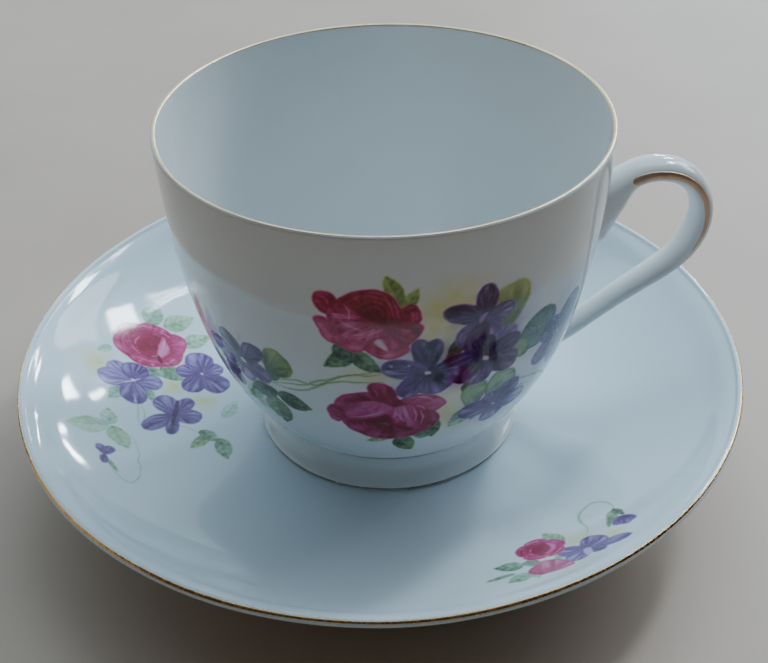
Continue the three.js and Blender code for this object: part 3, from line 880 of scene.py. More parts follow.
def paint_lower_rose(canvas):
    """Rose in magenta pink, wider than high, with a long pale petal across its heart."""
    heart = (-3.5, 28.2)
    petals = (
        ([(-15, 28.3), (-13.8, 30.1), (-12.2, 30), (-11.5, 27.5), (-12.8, 25.1), (-14.4, 25.8)],
         0.78, 0.56, 0.76),
        ([(-13.1, 31.4), (-11.6, 33.3), (-9.4, 33.9), (-8.6, 31.5), (-11.2, 29.5), (-13.1, 29.8)],
         0.74, 0.52, 0.72),
        ([(-11.6, 32.8), (-8, 34.6), (-5, 34.6), (-2.3, 33), (-1, 31), (-4, 30.8), (-8, 31.2),
          (-11.2, 30.5)], 0.9, 0.66, 0.74),
        ([(-7.1, 35.5), (-6.2, 37.1), (-4, 36.9), (-2.5, 35.3), (-2, 33.2), (-4, 31.7), (-6.2, 33)],
         0.88, 0.74, 0.72),
        ([(-1.4, 32.6), (1.2, 33.5), (4, 32.9), (6.1, 31.5), (6.7, 30), (5.3, 28.1), (3.8, 27.6),
          (2.5, 30), (-1, 31.2)], 0.62, 0.68, 0.78),
        ([(3.2, 29), (5, 27.9), (6.1, 25.8), (5.6, 23.8), (4, 22.2), (1.8, 21.8), (1.2, 25),
          (2.3, 28)], 0.9, 0.78, 0.88),
        ([(-12.2, 28.6), (-12.2, 24.8), (-10, 22), (-6.8, 20.3), (-2.5, 19.8), (1.8, 20.9), (3.6, 24),
          (3.2, 28.5), (0, 31), (-5, 31.6), (-10, 30.8)], 0.95, 0.7, 0.74),
    )
    for outline, deep, pale, rim in petals:
        canvas.petal(outline, heart, "rose", deep, pale, rim, 0.16, violet=0.1)
    canvas.petal([(-0.4, 31), (2.3, 29.7), (3.6, 26.6), (3.4, 23.4), (1.6, 21.8), (0.8, 24.8),
                  (0.3, 28)], (-1, 31), "rose", 0.74, 0.7, 0.8, 0.2, violet=0.1)
    canvas.petal([(-4.2, 28.9), (-1.6, 30.8), (0.4, 30.9), (1.7, 28), (1.9, 25), (1, 23.4),
                  (-1.3, 24.6), (-3.1, 26.8)], (-1.5, 31.3), "rose", 0.5, 0.62, 0.7, 0.24, 0.4, violet=0.12)
    canvas.petal([(-11.7, 27.9), (-10.6, 30.4), (-8, 31.9), (-5, 31.9), (-2.8, 30.6), (-2.5, 29.5),
                  (-4.6, 27.8), (-8, 26.6), (-10.9, 26.3)], (-4, 33), "rose", 0.5, 0.58, 0.62, 0.14,
                 0.35, violet=0.14)
    for line in ([(-0.9, 30.5), (-0.4, 28.8), (-0.2, 27.3)], [(0.7, 30.2), (1.5, 27.9), (1.5, 25.4)],
                 [(-2.5, 28.8), (-1.4, 27.2), (-0.7, 25.6)], [(-10.5, 27.1), (-7.5, 27.6), (-4.2, 29.2)],
                 [(0, 32.9), (2.3, 32.7), (4.3, 31.5)], [(2.2, 28.9), (2.9, 26.8), (2.7, 24.6)]):
        canvas.stroke(line, 0.4, 0.6, rose=0.2, violet=0.05)
    for line in ([(-10.9, 24.9), (-9.9, 23.5), (-8.4, 22.5)], [(-9.6, 25.9), (-9.3, 24.3), (-8, 23.2)],
                 [(-8.2, 25.9), (-8.1, 24.6), (-7, 23.6)], [(-6.6, 25.8), (-6.9, 24.6), (-6, 23.7)],
                 [(-5.3, 25.7), (-3.9, 25.4), (-3.5, 24.1)], [(-6.5, 22.2), (-4.5, 21.4), (-2.3, 21.6)],
                 [(-2.6, 24.6), (-2, 23.2), (-0.4, 22.6)], [(-6.1, 35.8), (-5.5, 34.4), (-5.4, 33.3)],
                 [(-12.4, 31.3), (-11.3, 32.4), (-9.7, 33)], [(-13.9, 28.8), (-13, 28.3), (-12.9, 26.9)],
                 [(-0.9, 21.8), (0.5, 21.9), (1.5, 22.8)], [(4.6, 26.8), (5, 25.6), (4.6, 24.3)]):
        canvas.stroke(line, 0.42, 0.5, rose=0.5, violet=0.12)
    for line in ([(-10.4, 26.1), (-7, 26.3), (-3.8, 27.8)], [(-9.9, 30.9), (-6.5, 32.4), (-2.9, 31.1)],
                 [(-7.3, 25.2), (-5.8, 24.7), (-4.9, 23.1)], [(-4.5, 24.9), (-3.3, 23.3), (-3.6, 22.2)],
                 [(-2.1, 32.9), (-1.3, 31.6), (0, 31.1)], [(2.1, 30.4), (3.5, 28.6), (3.9, 26)]):
        canvas.stroke(line, 0.4, 0.6, rose=0.95, yellow=0.2)


def paint_garland_violets(canvas):
    """The bunch of violets right of the roses, from the back to the front."""
    for centre, radii, violet in (((31.5, 36), (7.5, 10), 0.3), ((17.5, 25.6), (9, 5.4), 0.34),
                                  ((13.5, 45), (8, 9), 0.3), ((3.5, 39.5), (9, 7), 0.26)):
        canvas.wash(centre, radii, violet=violet)
    canvas.violet((31.5, 36), (
        (-4, 9.0, 5.8, 0.66, 0.54), (-72, 9.0, 5.8, 0.70, 0.58), (-142, 7.6, 5.8, 0.72, 0.62),
        (140, 7.0, 5.8, 0.74, 0.64), (66, 8.6, 6.2, 0.78, 0.66)), 0.3)
    canvas.violet((17.8, 24.9), (
        (118, 4.6, 4.2, 0.66, 0.56), (52, 6.8, 5.0, 0.72, 0.60), (-12, 8.6, 5.0, 0.70, 0.58),
        (176, 8.0, 4.8, 0.66, 0.54), (-80, 5.6, 5.4, 0.70, 0.56)), 0.4)
    canvas.petal([(14.4, 43.9), (15.4, 45.8), (18, 45.6), (18.7, 43), (17.6, 40.8), (15.6, 40.6),
                  (14.4, 42)], (14, 41), "violet", 0.62, 0.44, 0.56, 0.15)
    canvas.petal([(13, 45.2), (14.2, 45.4), (14.8, 43), (14.6, 40.8), (13, 41.5)], (13, 40),
                 "leaf", 0.85, 0.66, 0.8, 0.1, violet=0.35)
    canvas.violet((12.3, 49.6), (
        (-65, 5.2, 3.5, 0.60, 0.46), (8, 5.1, 3.4, 0.70, 0.56), (-128, 7.0, 4.6, 0.72, 0.52),
        (157, 7.6, 4.0, 0.84, 0.60), (93, 7.1, 3.5, 0.84, 0.66)), 0.0, rose=0.12)
    canvas.petal(egg((12, 49), -104, 7.2, 4.0), (12, 49), "violet", 0.76, 0.74, 0.9, 0.15, rose=0.46)
    canvas.stroke([(11.4, 48.6), (11.6, 49.6), (12.4, 50.5)], 1.0, 0.7, rose=0.25, violet=0.2)
    canvas.violet((13.1, 39.9), (
        (104, 5.6, 4.2, 0.92, 0.8), (172, 7.6, 3.8, 0.86, 0.72), (-142, 7.2, 4.6, 0.94, 0.84),
        (-32, 8.0, 5.0, 0.88, 0.68), (24, 7.0, 4.4, 0.86, 0.7)), 0.0, rose=0.3)
    canvas.violet((13.1, 39.9), ((-106, 6.7, 5.8, 0.92, 0.60),), 0.0, rose=0.08)
    canvas.stroke([(12.7, 40.2), (13.4, 39.2)], 1.1, 0.85, yellow=0.4, rose=0.12)
    canvas.violet((3, 39.1), (
        (12, 8.4, 3.0, 0.82, 0.78), (101, 8.4, 3.3, 0.88, 0.66), (83, 7.8, 3.2, 0.86, 0.70),
        (163, 8.0, 4.7, 0.66, 0.46), (-20, 5.9, 4.6, 0.84, 0.62), (-128, 7.4, 4.2, 0.82, 0.58),
        (-63, 6.3, 6.4, 0.96, 0.54)), 0.62)
    for place in ((-0.3, 41.4), (-3.3, 41.6)):
        canvas.stroke([place, (place[0] + 0.5, place[1] - 0.3)], 0.7, 0.6, violet=0.12)


def paint_garland_leaves(canvas):
    """Yellow washes, and the leaves and buds round the garland's flowers."""
    for centre, radii, yellow in (((4.8, 49.2), (5.0, 8.0), 0.6), ((8.6, 54.2), (5.6, 5.0), 0.4),
                                  ((7.6, 29.5), (4.6, 6.6), 0.4), ((-4, 38.8), (8, 2.6), 0.45),
                                  ((20.5, 39.5), (3.6, 4.4), 0.5), ((9.5, 24), (5.4, 4.8), 0.3)):
        canvas.wash(centre, radii, yellow=yellow)
    canvas.leaves(
        ((-1.4, 55), (-3.6, 60.9), 2.8, 0.66, 0.36, 0.85),
        ((-1, 53.6), (1.3, 58.3), 2.3, 0.62, 0.34, 0.8),
        ((-9, 45.4), (-14.2, 40.3), 3.7, 0.84, 0.62, 0.2, 0.5),
        ((-11.5, 46.3), (-9.6, 41.8), 3.4, 0.86, 0.74, 0.1),
        ((-9.3, 45), (-4.5, 39.8), 3.4, 0.80, 0.60, 0.15, -0.5),
        ((-3.2, 20.8), (-8.4, 18.8), 2.0, 0.56, 0.4, 0.3),
        ((-2.2, 20.4), (1.5, 14.7), 4.7, 0.86, 0.60, 0.25),
        ((5.4, 25.3), (5.3, 19), 2.7, 0.92, 0.78, 0.1),
        ((5.6, 20.4), (0.3, 21.4), 2.9, 0.72, 0.6, 0.2),
        ((8.9, 46.4), (6.2, 41.2), 3.0, 0.94, 0.84, 0.6),
        ((12.6, 26.4), (8.4, 21.6), 4.6, 0.62, 0.36, 0.1),
        ((14, 25.2), (13.2, 21.8), 1.8, 0.8, 0.66, 0.1),
        ((10.2, 34.4), (10.3, 31.6), 1.6, 0.9, 0.8, 0.7))
    canvas.petal([(13.6, 53.4), (14.6, 55), (17.5, 55.4), (19.9, 54), (20.1, 50.5), (18.9, 47.8),
                  (17, 45.6), (14.8, 46.4), (13.8, 49.8)], (17, 46), "leaf", 0.66, 0.4, 0.46, 0.12, 0.4,
                 yellow=0.8)
    canvas.petal([(19.8, 42.4), (21.5, 44.8), (24.5, 46), (27.3, 45), (28.4, 42.3), (27.6, 39.5),
                  (25.8, 37.2), (23, 36.7), (20.8, 37.8), (19.6, 40)], (24, 40.5), "leaf", 0.72, 0.92, 0.95,
                 0.2, violet=0.12)
    canvas.petal([(18.6, 40.6), (20.2, 41.3), (22, 39.4), (22.6, 36.6), (20.8, 36), (19, 38)], (20, 39),
                 "leaf", 0.55, 0.78, 0.86, 0.12, yellow=0.5)
    canvas.petal([(9.7, 31.4), (11, 33.6), (13.6, 33.9), (14.7, 31.5), (14.2, 28.5), (13.2, 26.7),
                  (11.4, 26.9), (10.2, 29)], (11, 32), "leaf", 0.5, 0.62, 0.74, 0.14, yellow=0.3)
    canvas.petal([(14.6, 32.4), (16.5, 34.7), (19.5, 34.2), (21, 31.7), (20.5, 29), (18.3, 27.4),
                  (15.9, 27.8), (14.6, 30)], (16, 32), "leaf", 0.5, 0.72, 0.84, 0.16, yellow=0.2)
    canvas.stroke([(22, 42.6), (23.6, 41.6), (25.8, 41.6)], 0.7, 0.5, leaf=0.6)
    canvas.stroke([(20.6, 43.6), (23.4, 42.2), (24.3, 39.4)], 0.3, 0.6, leaf=1.0)
    canvas.stroke([(15.3, 29.4), (17.6, 31.3), (20, 31.4)], 0.3, 0.5, leaf=0.9)


# Fine stems that run from the posy to the garland, and on to the right.
TENDRILS = (
    [(-26, 31.6), (-22, 33.1), (-18, 34.6), (-14, 36.9), (-10, 38.5), (-4.6, 39.3)],
    [(-25.6, 31.6), (-20.6, 31.8), (-17, 33.7), (-13.6, 36.2), (-9, 37.1), (-4.2, 37.3)],
    [(-24, 33.2), (-20, 35), (-16, 34.8), (-12.6, 37.4), (-6, 40)],
    [(20.6, 30.3), (24, 28.8), (28, 27.3), (33, 24.2), (38, 20.6), (42, 17.8)],
    [(19.5, 29), (23, 27.3), (26.8, 25.4)],
)


def paint_tendrils(canvas):
    for line in TENDRILS:
        canvas.stroke(line, 0.75, 0.55, leaf=0.3, yellow=0.2)
        canvas.stroke(line, 0.36, 0.75, leaf=0.66, yellow=0.25)


def paint_garland():
    """Two roses and a bunch of violets."""
    canvas = Canvas(-17.4, 42.5, 13.5, 61.2, 100)
    paint_tendrils(canvas)
    paint_garland_leaves(canvas)
    paint_garland_violets(canvas)
    paint_lower_rose(canvas)
    paint_upper_rose(canvas)
    return canvas


def paint_posy():
    """Violets and dark leaves, in the garland's coordinates."""
    canvas = Canvas(-48.2, -17.4, 16.5, 45.0, 200)
    paint_tendrils(canvas)
    canvas.petal([(-26.6, 37.8), (-25.5, 40.6), (-23, 41.3), (-21, 39.6), (-20.2, 37), (-21.5, 35),
                  (-23.5, 33.9), (-25.6, 34.2)], (-26, 35), "leaf", 0.9, 0.56, 0.74, 0.16, yellow=0.55)
    canvas.petal([(-26.2, 35.6), (-24.6, 35.8), (-23.6, 34), (-24.8, 32.4), (-26.2, 32.8)], (-26, 35),
                 "leaf", 0.94, 0.8, 0.9, 0.1)
    canvas.stroke([(-24.2, 34.2), (-22.3, 35.2), (-21.2, 36.6)], 0.9, 0.6, leaf=0.94, yellow=0.3)
    canvas.leaves(
        ((-25.2, 29.6), (-32.6, 26.2), 4.2, 0.94, 0.72, 0.05),
        ((-25.4, 28.9), (-18.1, 26.9), 4.6, 0.9, 0.74, 0.15),
        ((-26.4, 27.2), (-27, 18.4), 6.2, 0.6, 0.8, 0.25),
        ((-30, 26), (-35.6, 22.2), 2.6, 0.6, 0.45, 0.0))
    canvas.violet((-39.5, 27.6), (
        (-150, 9.0, 4.6, 0.82, 0.62), (178, 7.6, 4.4, 0.84, 0.66), (-118, 5.6, 4.6, 0.7, 0.5),
        (-12, 5.4, 3.8, 0.7, 0.5), (35, 5.8, 3.6, 0.98, 0.8)), 0.0, rose=0.24)
    canvas.violet((-31.8, 34.4), (
        (-95, 5.6, 5.0, 0.56, 0.4), (182, 9.8, 5.0, 0.66, 0.54), (-158, 8.2, 4.4, 0.62, 0.48),
        (128, 7.2, 5.0, 0.62, 0.44), (-22, 6.4, 4.8, 0.66, 0.58),
        (47, 7.7, 4.2, 0.86, 0.66)), 0.75, rose=0.06)
    canvas.stroke([(-33.6, 35), (-33.2, 33), (-31.6, 32.6)], 1.1, 0.5, violet=0.92, rose=0.3)
    canvas.stroke([(-30.8, 36), (-29.8, 35), (-30.2, 33.6)], 0.8, 0.5, violet=0.9, rose=0.3)
    return canvas


def paint_small_rose(canvas, centre, across, upwards, petals=6):
    """A rose seen from above: outer petals, rings of pale-edged inner ones, a dark heart."""
    def spot(angle, reach):
        return (centre[0] + across * reach * math.cos(angle), centre[1] + upwards * reach * math.sin(angle))
    for index in range(petals):
        middle = 2 * math.pi * (index + 0.35) / petals
        outline = [spot(middle + turn, reach) for turn, reach in
                   ((-0.62, 0.55), (-0.55, 0.92), (0, 1.04), (0.55, 0.92), (0.62, 0.55), (0, 0.3))]
        canvas.petal(outline, centre, "rose", 0.8, 0.6, 0.74, 0.14)
    for reach, tone in ((0.78, 0.66), (0.6, 0.72), (0.42, 0.76), (0.24, 0.82)):
        outline = [spot(turn, reach * (1 + 0.07 * math.sin(3 * turn + 9 * reach)))
                   for turn in np.arange(8) * math.pi / 4]
        canvas.petal(outline, centre, "rose", tone + 0.08, tone - 0.1, tone, 0.12)
    for index in range(13):
        start = 2.4 * index
        reach = 0.34 + 0.05 * index
        line = [spot(start + turn, reach + 0.04 * math.sin(index)) for turn in (0, 0.45, 0.9)]
        canvas.stroke(line, 0.34, 0.55, rose=0.26 if index % 3 else 0.9)


def paint_large_spray():
    """The saucer's large spray, in the part's own x and y."""
    canvas = Canvas(-65.5, -30, -33, 35, 300)
    for centre, radii, yellow in (((-60, 11.5), (3.2, 4.2), 0.5), ((-45, 9.3), (3.2, 2.6), 0.55),
                                  ((-38, 4.6), (3.6, 3.0), 0.5), ((-43.5, 19), (2.4, 2.4), 0.4)):
        canvas.wash(centre, radii, yellow=yellow)
    for stem in ([(-51.6, 3), (-51.2, -1), (-50.8, -4.6)], [(-50.6, 2), (-49.8, -1.5), (-50.4, -4)],
                 [(-52, -8.4), (-50.8, -11), (-50, -16), (-49.6, -21), (-51, -24), (-53.2, -22.4),
                  (-55.2, -19.8), (-56.2, -17)],
                 [(-44.4, -2.6), (-40.6, -4.2), (-37, -6.4), (-34.2, -8.2)],
                 [(-57.6, -13.4), (-57.2, -17), (-56.4, -20.2)]):
        canvas.stroke(stem, 0.34, 0.7, leaf=0.55)
    canvas.leaves(
        ((-50.5, 27), (-48.4, 33.6), 4.4, 0.5, 0.34, 0.0),
        ((-47, 27.4), (-40.6, 31.8), 4.6, 0.44, 0.26, 0.15),
        ((-43, 22.6), (-36.6, 26.6), 4.0, 0.42, 0.3, 0.15),
        ((-57.6, 17.4), (-60.2, 15.2), 2.0, 0.4, 0.24, 0.0),
        ((-47.6, 15.4), (-42.4, 11.6), 4.2, 0.72, 0.5, 0.05),
        ((-50.8, 13.8), (-46, 12.4), 2.6, 0.6, 0.5, 0.0),
        ((-54.6, 6.4), (-57.4, 1.8), 2.8, 0.5, 0.36, 0.0),
        ((-50, 7.4), (-48.6, 3.8), 2.2, 0.56, 0.42, 0.0),
        ((-56.6, -6.8), (-64, -10.2), 4.6, 0.32, 0.2, 0.15),
        ((-56.4, -6.6), (-57, -1.4), 3.4, 0.34, 0.24, 0.1),
        ((-55.8, -6.8), (-52.4, -13), 4.2, 0.42, 0.28, 0.2),
        ((-36.6, -6.4), (-40.2, -10.4), 3.0, 0.52, 0.34, 0.35),
        ((-38.6, -4.6), (-34.6, -8.4), 3.0, 0.62, 0.44, 0.1),
        ((-34.4, -7.6), (-32.6, -14), 3.2, 0.62, 0.44, 0.1),
        ((-56, -17.6), (-53.4, -21.4), 1.2, 0.5, 0.36, 0.1),
        ((-33.6, -1), (-30.8, 4.4), 3.4, 0.3, 0.2, 0.0))
    canvas.violet((-53, 9.4), (
        (142, 6.0, 4.4, 0.46, 0.34), (190, 7.0, 5.0, 0.44, 0.3), (4, 6.4, 4.6, 0.52, 0.42),
        (-84, 7.4, 5.4, 0.54, 0.44), (82, 5.2, 5.8, 0.6, 0.48)), 0.5)
    canvas.stroke([(-55, 7.8), (-53, 9.2), (-51.4, 10.2)], 0.5, 0.7, yellow=0.1)
    canvas.violet((-38.6, 13.9), (
        (100, 7.2, 6.0, 0.58, 0.46), (28, 5.0, 4.4, 0.56, 0.44), (168, 5.8, 4.2, 0.58, 0.46),
        (-116, 6.6, 4.8, 0.6, 0.48), (-48, 7.8, 5.2, 0.6, 0.46)), 0.45)
    canvas.violet((-43.9, 0.6), (
        (126, 6.2, 4.8, 0.58, 0.44), (56, 5.8, 3.6, 0.6, 0.46), (-136, 8.6, 3.8, 0.6, 0.46),
        (-16, 5.8, 4.6, 0.62, 0.48), (-94, 7.0, 2.8, 0.66, 0.54)), 0.0)
    canvas.stroke([(-43.6, 4.8), (-43.9, 1), (-44, -3)], 1.1, 0.7, violet=0.9, rose=0.3)
    canvas.violet((-56.4, -16.6), (
        (112, 3.2, 2.0, 0.74, 0.5), (70, 3.2, 2.0, 0.7, 0.5), (-88, 3.0, 1.4, 0.7, 0.6)), 0.0)
    paint_small_rose(canvas, (-49.9, 20.9), 7.6, 6.5)
    canvas.petal([(-45.6, 25.6), (-43.2, 25.4), (-42, 23.4), (-42.4, 20.4), (-44.4, 18), (-46, 20.5)],
                 (-48, 21), "rose", 0.78, 0.52, 0.74, 0.14)
    canvas.petal([(-47.2, 24.4), (-45.9, 22), (-46.2, 19.2), (-47.8, 17.8), (-48.4, 20.6)], (-48, 18),
                 "rose", 0.4, 0.3, 0.5, 0.14)
    canvas.stroke([(-48, 18.4), (-47.4, 16.4)], 1.0, 0.75, rose=0.95, leaf=0.4)
    return canvas


def paint_small_spray():
    """The saucer's small spray, in the part's own x and y."""
    canvas = Canvas(11.5, 43, -63, -36.5, 400)
    for centre, radii, yellow in (((30.4, -49.8), (2.4, 3.0), 0.45), ((36.6, -51.4), (2.4, 1.8), 0.5),
                                  ((29.4, -58.8), (2.6, 1.4), 0.35), ((33, -48), (1.4, 2.6), 0.35)):
        canvas.wash(centre, radii, yellow=yellow)
    canvas.stroke([(32.6, -48.8), (33.6, -46.6), (33.1, -43.4), (33.8, -40.7), (35.5, -39), (37.3, -38.6),
                   (38.8, -39.8), (39.4, -41.8), (39.3, -43.6)], 0.6, 0.8, leaf=0.5)
    canvas.leaves(
        ((20.2, -54.4), (15, -53.4), 3.4, 0.5, 0.68, 0.0),
        ((23, -54.6), (20, -53.6), 2.8, 0.66, 0.56, 0.0),
        ((20.6, -58), (16.4, -60.4), 3.2, 0.36, 0.5, 0.0),
        ((18, -57), (12.8, -58.2), 1.3, 0.5, 0.5, 0.0),
        ((20.6, -57.8), (21.4, -61), 2.2, 0.4, 0.34, 0.0),
        ((28.4, -49.2), (25.8, -44.6), 3.4, 0.5, 0.4, 0.2),
        ((27.6, -53.2), (25.8, -55.2), 1.8, 0.5, 0.42, 0.0),
        ((38.6, -43), (38, -48.6), 2.0, 0.46, 0.5, 0.1),
        ((39.2, -42.6), (40.4, -46), 1.6, 0.8, 0.8, 0.0), ((38, -45), (36.8, -49), 0.9, 0.5, 0.5, 0.1))
    canvas.violet((39.9, -46.2), (
        (-125, 3.2, 2.0, 0.6, 0.46), (-92, 3.5, 2.2, 0.66, 0.46), (-60, 3.2, 1.9, 0.66, 0.46)), 0.0)
    canvas.violet((31.6, -54.5), (
        (160, 5.3, 3.6, 0.62, 0.5), (-146, 5.0, 3.6, 0.6, 0.46), (4, 7.4, 3.0, 0.62, 0.48),
        (-38, 3.2, 2.6, 0.64, 0.54), (58, 5.4, 4.6, 0.68, 0.48)), 0.0)
    canvas.petal([(30.9, -54.2), (32.2, -54.2), (32, -56), (30.9, -57.2), (30.4, -55.6)], (31.4, -54),
                 "violet", 0.24, 0.1, 0.2, 0.1)
    canvas.petal([(20.4, -58), (21.5, -56), (23, -54.7), (25.4, -54.7), (27.1, -56), (28.1, -58.1),
                  (27.4, -59.3), (25, -59.9), (22, -59.8)], (24, -60.5), "rose", 0.6, 0.48, 0.66, 0.14,
                 leaf=0.1)
    canvas.petal([(20.4, -58), (21.2, -56.2), (23, -56), (22.4, -58), (22.6, -59.8), (21.4, -59.7)],
                 (22.5, -57), "rose", 0.56, 0.66, 0.68, 0.1, leaf=0.1)
    paint_small_rose(canvas, (24.3, -49.9), 4.4, 3.7, 5)
    canvas.petal([(25.4, -48), (26.9, -48.6), (27, -50.2), (25.8, -51.8), (24.8, -51.8), (26, -50)],
                 (26, -50), "rose", 0.34, 0.42, 0.5, 0.1)
    return canvas


def enamel_sheet(name, canvas, place, material, body, node):
    """A thin closed sheet over the painted cells only. place(x, y, lift) gives its points."""
    painted = canvas.amount.max(axis=-1) > 0.012
    cells = painted[:-1, :-1] | painted[1:, :-1] | painted[:-1, 1:] | painted[1:, 1:]
    # Cells that meet only at a corner get their neighbours too, so that the sheet is sound.
    for _ in range(3):
        both = cells[:-1, :-1] & cells[1:, 1:] | cells[1:, :-1] & cells[:-1, 1:]
        for fill in (np.s_[:-1, :-1], np.s_[1:, :-1], np.s_[:-1, 1:], np.s_[1:, 1:]):
            cells[fill] |= both
    corner = np.zeros(painted.shape, bool)
    for i, j in ((0, 0), (1, 0), (0, 1), (1, 1)):
        corner[i:i + cells.shape[0], j:j + cells.shape[1]] |= cells
    number = np.cumsum(corner).reshape(corner.shape) - 1
    count = int(corner.sum())
    x, y = canvas.x[corner], canvas.y[corner]
    whole = np.pad(cells, 1)
    inside = whole[:-1, :-1] & whole[1:, :-1] & whole[:-1, 1:] & whole[1:, 1:]
    over = place(x, y, np.where(inside, ENAMEL_FILM, ENAMEL_EDGE)[corner])
    across = place(x + 0.05, y, 0) - place(x - 0.05, y, 0)
    upwards = place(x, y + 0.05, 0) - place(x, y - 0.05, 0)
    normals = np.cross(across, upwards)
    normals = normals / np.linalg.norm(normals, axis=1, keepdims=True)
    points = np.vstack([over, place(x, y, ENAMEL_UNDER)])
    quads = np.stack([number[:-1, :-1], number[1:, :-1], number[1:, 1:], number[:-1, 1:]], axis=-1)[cells]
    faces = np.vstack([quads, quads[:, ::-1] + count])
    # The sheet's upright edge, wherever a cell has no neighbour on that side.
    for side, (i, j) in enumerate(((0, -1), (1, 0), (0, 1), (-1, 0))):
        beyond = np.roll(np.pad(cells, 1), (-i, -j), (0, 1))[1:-1, 1:-1]
        open_edge = ~beyond[cells]
        a = quads[open_edge, side]
        b = quads[open_edge, (side + 1) % 4]
        faces = np.vstack([faces, np.stack([b, a, a + count, b + count], axis=-1)])
    piece = mesh_piece(name, points, faces.tolist(), material, body, [node])
    piece.data.normals_split_custom_set_from_vertices(np.vstack([normals, -normals]).tolist())
    layer = piece.data.attributes.new("enamel", "FLOAT_COLOR", "POINT")
    amounts = canvas.amount[corner]
    layer.data.foreach_set("color", np.vstack([amounts, amounts]).astype(np.float32).ravel())


def bowl_place(turn):
    """Places the garland's coordinates on the bowl, turned about its axis by degrees."""
    def place(x, y, lift):
        azimuth = x / GARLAND_R + math.radians(turn - 90)
        skin = bowl_wall.offset(bowl_wall.at_height(y), lift)
        return on_cup(around(skin[..., 0], azimuth, skin[..., 1]))
    return place


def saucer_place(turn):
    """Places x and y on the saucer's upper face, turned about its axis by degrees."""
    def place(x, y, lift):
        radius = np.hypot(x, y)
        azimuth = np.arctan2(y, x) + math.radians(turn)
        skin = saucer_slope.offset(saucer_slope.at_radius(radius), -lift)
        level = rows(radius, WELL_Z + lift)
        skin = np.where((radius < WELL_R)[..., None], level, skin)
        return saucer_shape(around(skin[..., 0], azimuth, skin[..., 1]))
    return place


# --- stage: camera, lights and floor ---


CAMERA_TARGET = (1.016, -0.089, 25.72)
CAMERA_DISTANCE = 244.39
CAMERA_AZIMUTH = -5              # degrees: a little left of the front
CAMERA_ELEVATION = 36.86
CAMERA_ROLL = -1.23
CAMERA_LENS = 55.72


def make_camera():
    """Looks down at the cup from a little left of its front."""
    azimuth = math.radians(CAMERA_AZIMUTH)
    elevation = math.radians(CAMERA_ELEVATION)
    roll = math.radians(CAMERA_ROLL)
    back = Vector((math.sin(azimuth) * math.cos(elevation),
                   -math.cos(azimuth) * math.cos(elevation), math.sin(elevation)))
    right = Vector((0, 0, 1)).cross(back).normalized()
    up = back.cross(right)
    turned_right = math.cos(roll) * right + math.sin(roll) * up
    turned_up = math.cos(roll) * up - math.sin(roll) * right
    camera = bpy.data.objects.new("camera", bpy.data.cameras.new("camera"))
    camera.data.lens = CAMERA_LENS
    camera.data.sensor_width = 36
    camera.data.clip_start = 0.01
    rotation = Matrix((turned_right, turned_up, back)).transposed().to_4x4()
    place = Vector(CAMERA_TARGET) * MM + back * CAMERA_DISTANCE * MM
    camera.matrix_world = Matrix.Translation(place) @ rotation
    bpy.context.scene.collection.objects.link(camera)
    bpy.context.scene.camera = camera


SKY = (0.72, 0.88, 1.0)
LIGHTS = (                       # name, azimuth, elevation, distance, width, height, power, colour
    ("bright_wall", 0, 31, 1.8, 3.8, 2.6, 45, (0.66, 0.86, 1.0)),
    ("side_window", 58, 28, 1.5, 0.7, 0.5, 7.0, (0.80, 0.90, 1.0)),
    ("ceiling", 0, 90, 1.6, 1.2, 1.2, 2.4, SKY),
    ("skylight", 20, 66, 1.2, 0.8, 0.5, 2.8, SKY),
    ("lamp", -85, 18, 1.5, 1.2, 0.8, 1.2, (1.0, 0.86, 0.72)),
)
PANE_DISTANCE = 1.5
PANE_COLOUR = (0.78, 0.89, 1.0)
PANES = (                        # azimuth, elevation, width, height, power
    (48, 43.5, 0.17, 0.17, 6.0),
    (48, 53.5, 0.02, 0.2, 0.8),
    (51, 54.5, 0.02, 0.18, 0.7),
    (54, 53, 0.015, 0.16, 0.5),
    (32, 23.5, 0.1, 0.1, 2.6),
    (29.5, 29.5, 0.03, 0.12, 0.8),
    (24.5, 13, 0.03, 0.09, 0.9),
    (20.5, 10.3, 0.09, 0.04, 1.1),
)


def make_light(name, azimuth, elevation, distance, width, height, power, colour):
    """A soft rectangle of light facing the cup. Azimuth 0 is behind it, +90 to the right."""
    light = bpy.data.lights.new(name, "AREA")
    light.shape = "RECTANGLE"
    light.size = width
    light.size_y = height
    light.energy = power
    light.color = colour
    a, e = math.radians(azimuth), math.radians(elevation)
    away = Vector((math.sin(a) * math.cos(e), math.cos(a) * math.cos(e), math.sin(e)))
    lamp = bpy.data.objects.new(name, light)
    lamp.location = away * distance
    lamp.rotation_euler = away.to_track_quat("Z", "Y").to_euler()
    bpy.context.scene.collection.objects.link(lamp)


def make_world():
    """Dim light from the room all round."""
    world = bpy.data.worlds.new("room")
    world.use_nodes = True
    background = world.node_tree.nodes["Background"]
    background.inputs["Color"].default_value = (1.0, 0.76, 0.54, 1)
    background.inputs["Strength"].default_value = 0.035
    bpy.context.scene.world = world


FLOOR_REACH = 6.0                # metres each way


def make_floor():
    """A plain pale table top."""
    steps = 24
    across = np.linspace(-FLOOR_REACH, FLOOR_REACH, steps) / MM
    x, y = np.meshgrid(across, across, indexing="ij")
    points = rows(x, y, 0.0).reshape(-1, 3)
    mesh = bpy.data.meshes.new("floor")
    mesh.from_pydata((points * MM).tolist(), [], grid_faces(steps, steps, False, False))
    shader = Shader("table_top")
    tone = shader.ramp(shader.noise(60, 5.0), (0.3, (0.52, 0.415, 0.34)), (0.7, (0.58, 0.47, 0.385)))
    shader.set(base_color=tone, roughness=0.55)
    mesh.materials.append(shader.material)
    floor = bpy.data.objects.new("floor", mesh)
    bpy.context.scene.collection.objects.link(floor)


# --- assembly ---

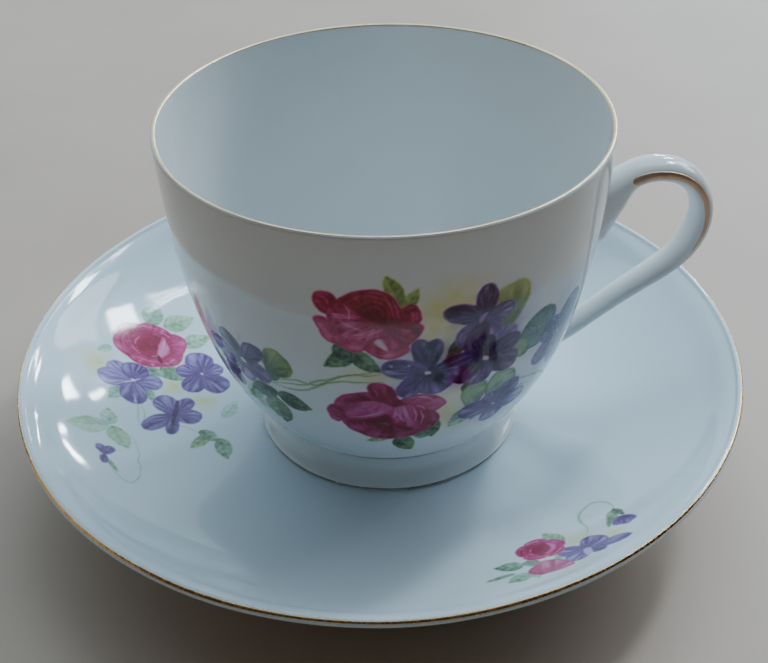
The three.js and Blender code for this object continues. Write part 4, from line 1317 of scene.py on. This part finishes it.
make_camera()
make_world()
for light in LIGHTS:
    make_light(*light)
for number, (azimuth, elevation, width, height, power) in enumerate(PANES):
    make_light(f"pane_{number}", azimuth, elevation, PANE_DISTANCE, width, height, power, PANE_COLOUR)
make_floor()

cup_porcelain = porcelain("cup_porcelain", CUP_GLAZE)
make_bowl(cup_porcelain)
make_handle(cup_porcelain)
make_cup_foot(porcelain("cup_foot_porcelain", CUP_GLAZE, CUP_BASE))
make_plate(porcelain("saucer_porcelain", SAUCER_GLAZE_WITH_PAINTED_DAYLIGHT))
make_saucer_foot(porcelain("saucer_foot_porcelain", SAUCER_GLAZE_WITH_PAINTED_DAYLIGHT, 0.0))

make_cup_edge(gilding("cup_gold", CUP_GLAZE, (0.80, 0.62, 0.39), (0.66, 0.51, 0.35), wear=0.68, satin=0.1))
make_foot_line(gilding("foot_gold", CUP_GLAZE, (0.55, 0.40, 0.22), (0.36, 0.26, 0.16), wear=0.66))
handle_gold = gilding("handle_gold", CUP_GLAZE, (0.72, 0.50, 0.32), (0.50, 0.40, 0.34), wear=0.60, satin=0.3)
make_handle_stroke(-1, "handle_front_gold", "handle_front_gilding", handle_gold)
make_handle_stroke(1, "handle_back_gold", "handle_back_gilding", handle_gold)
saucer_gold = gilding("saucer_gold", SAUCER_GLAZE_WITH_PAINTED_DAYLIGHT, (0.90, 0.64, 0.32), (0.68, 0.45, 0.22),
                      wear=0.60, painted_back_reflection=0.32)
make_saucer_edge(saucer_gold)

cup_enamel = enamel("cup_enamel", CUP_GLAZE)
saucer_enamel = enamel("saucer_enamel", SAUCER_GLAZE_WITH_PAINTED_DAYLIGHT)
garland = paint_garland()
posy = paint_posy()
large_spray = paint_large_spray()
small_spray = paint_small_spray()
enamel_sheet("front_garland", garland, bowl_place(0), cup_enamel, "cup", "cup_front_garland_transfer")
enamel_sheet("back_garland", garland, bowl_place(180), cup_enamel, "cup", "cup_back_garland_transfer")
enamel_sheet("left_posy", posy, bowl_place(0), cup_enamel, "cup", "cup_left_posy_transfer")
enamel_sheet("right_posy", posy, bowl_place(180), cup_enamel, "cup", "cup_right_posy_transfer")
enamel_sheet("large_spray", large_spray, saucer_place(0), saucer_enamel, "saucer", "saucer_large_transfer")
enamel_sheet("front_spray", small_spray, saucer_place(0), saucer_enamel, "saucer", "saucer_front_transfer")
enamel_sheet("back_spray", small_spray, saucer_place(120), saucer_enamel, "saucer", "saucer_back_transfer")
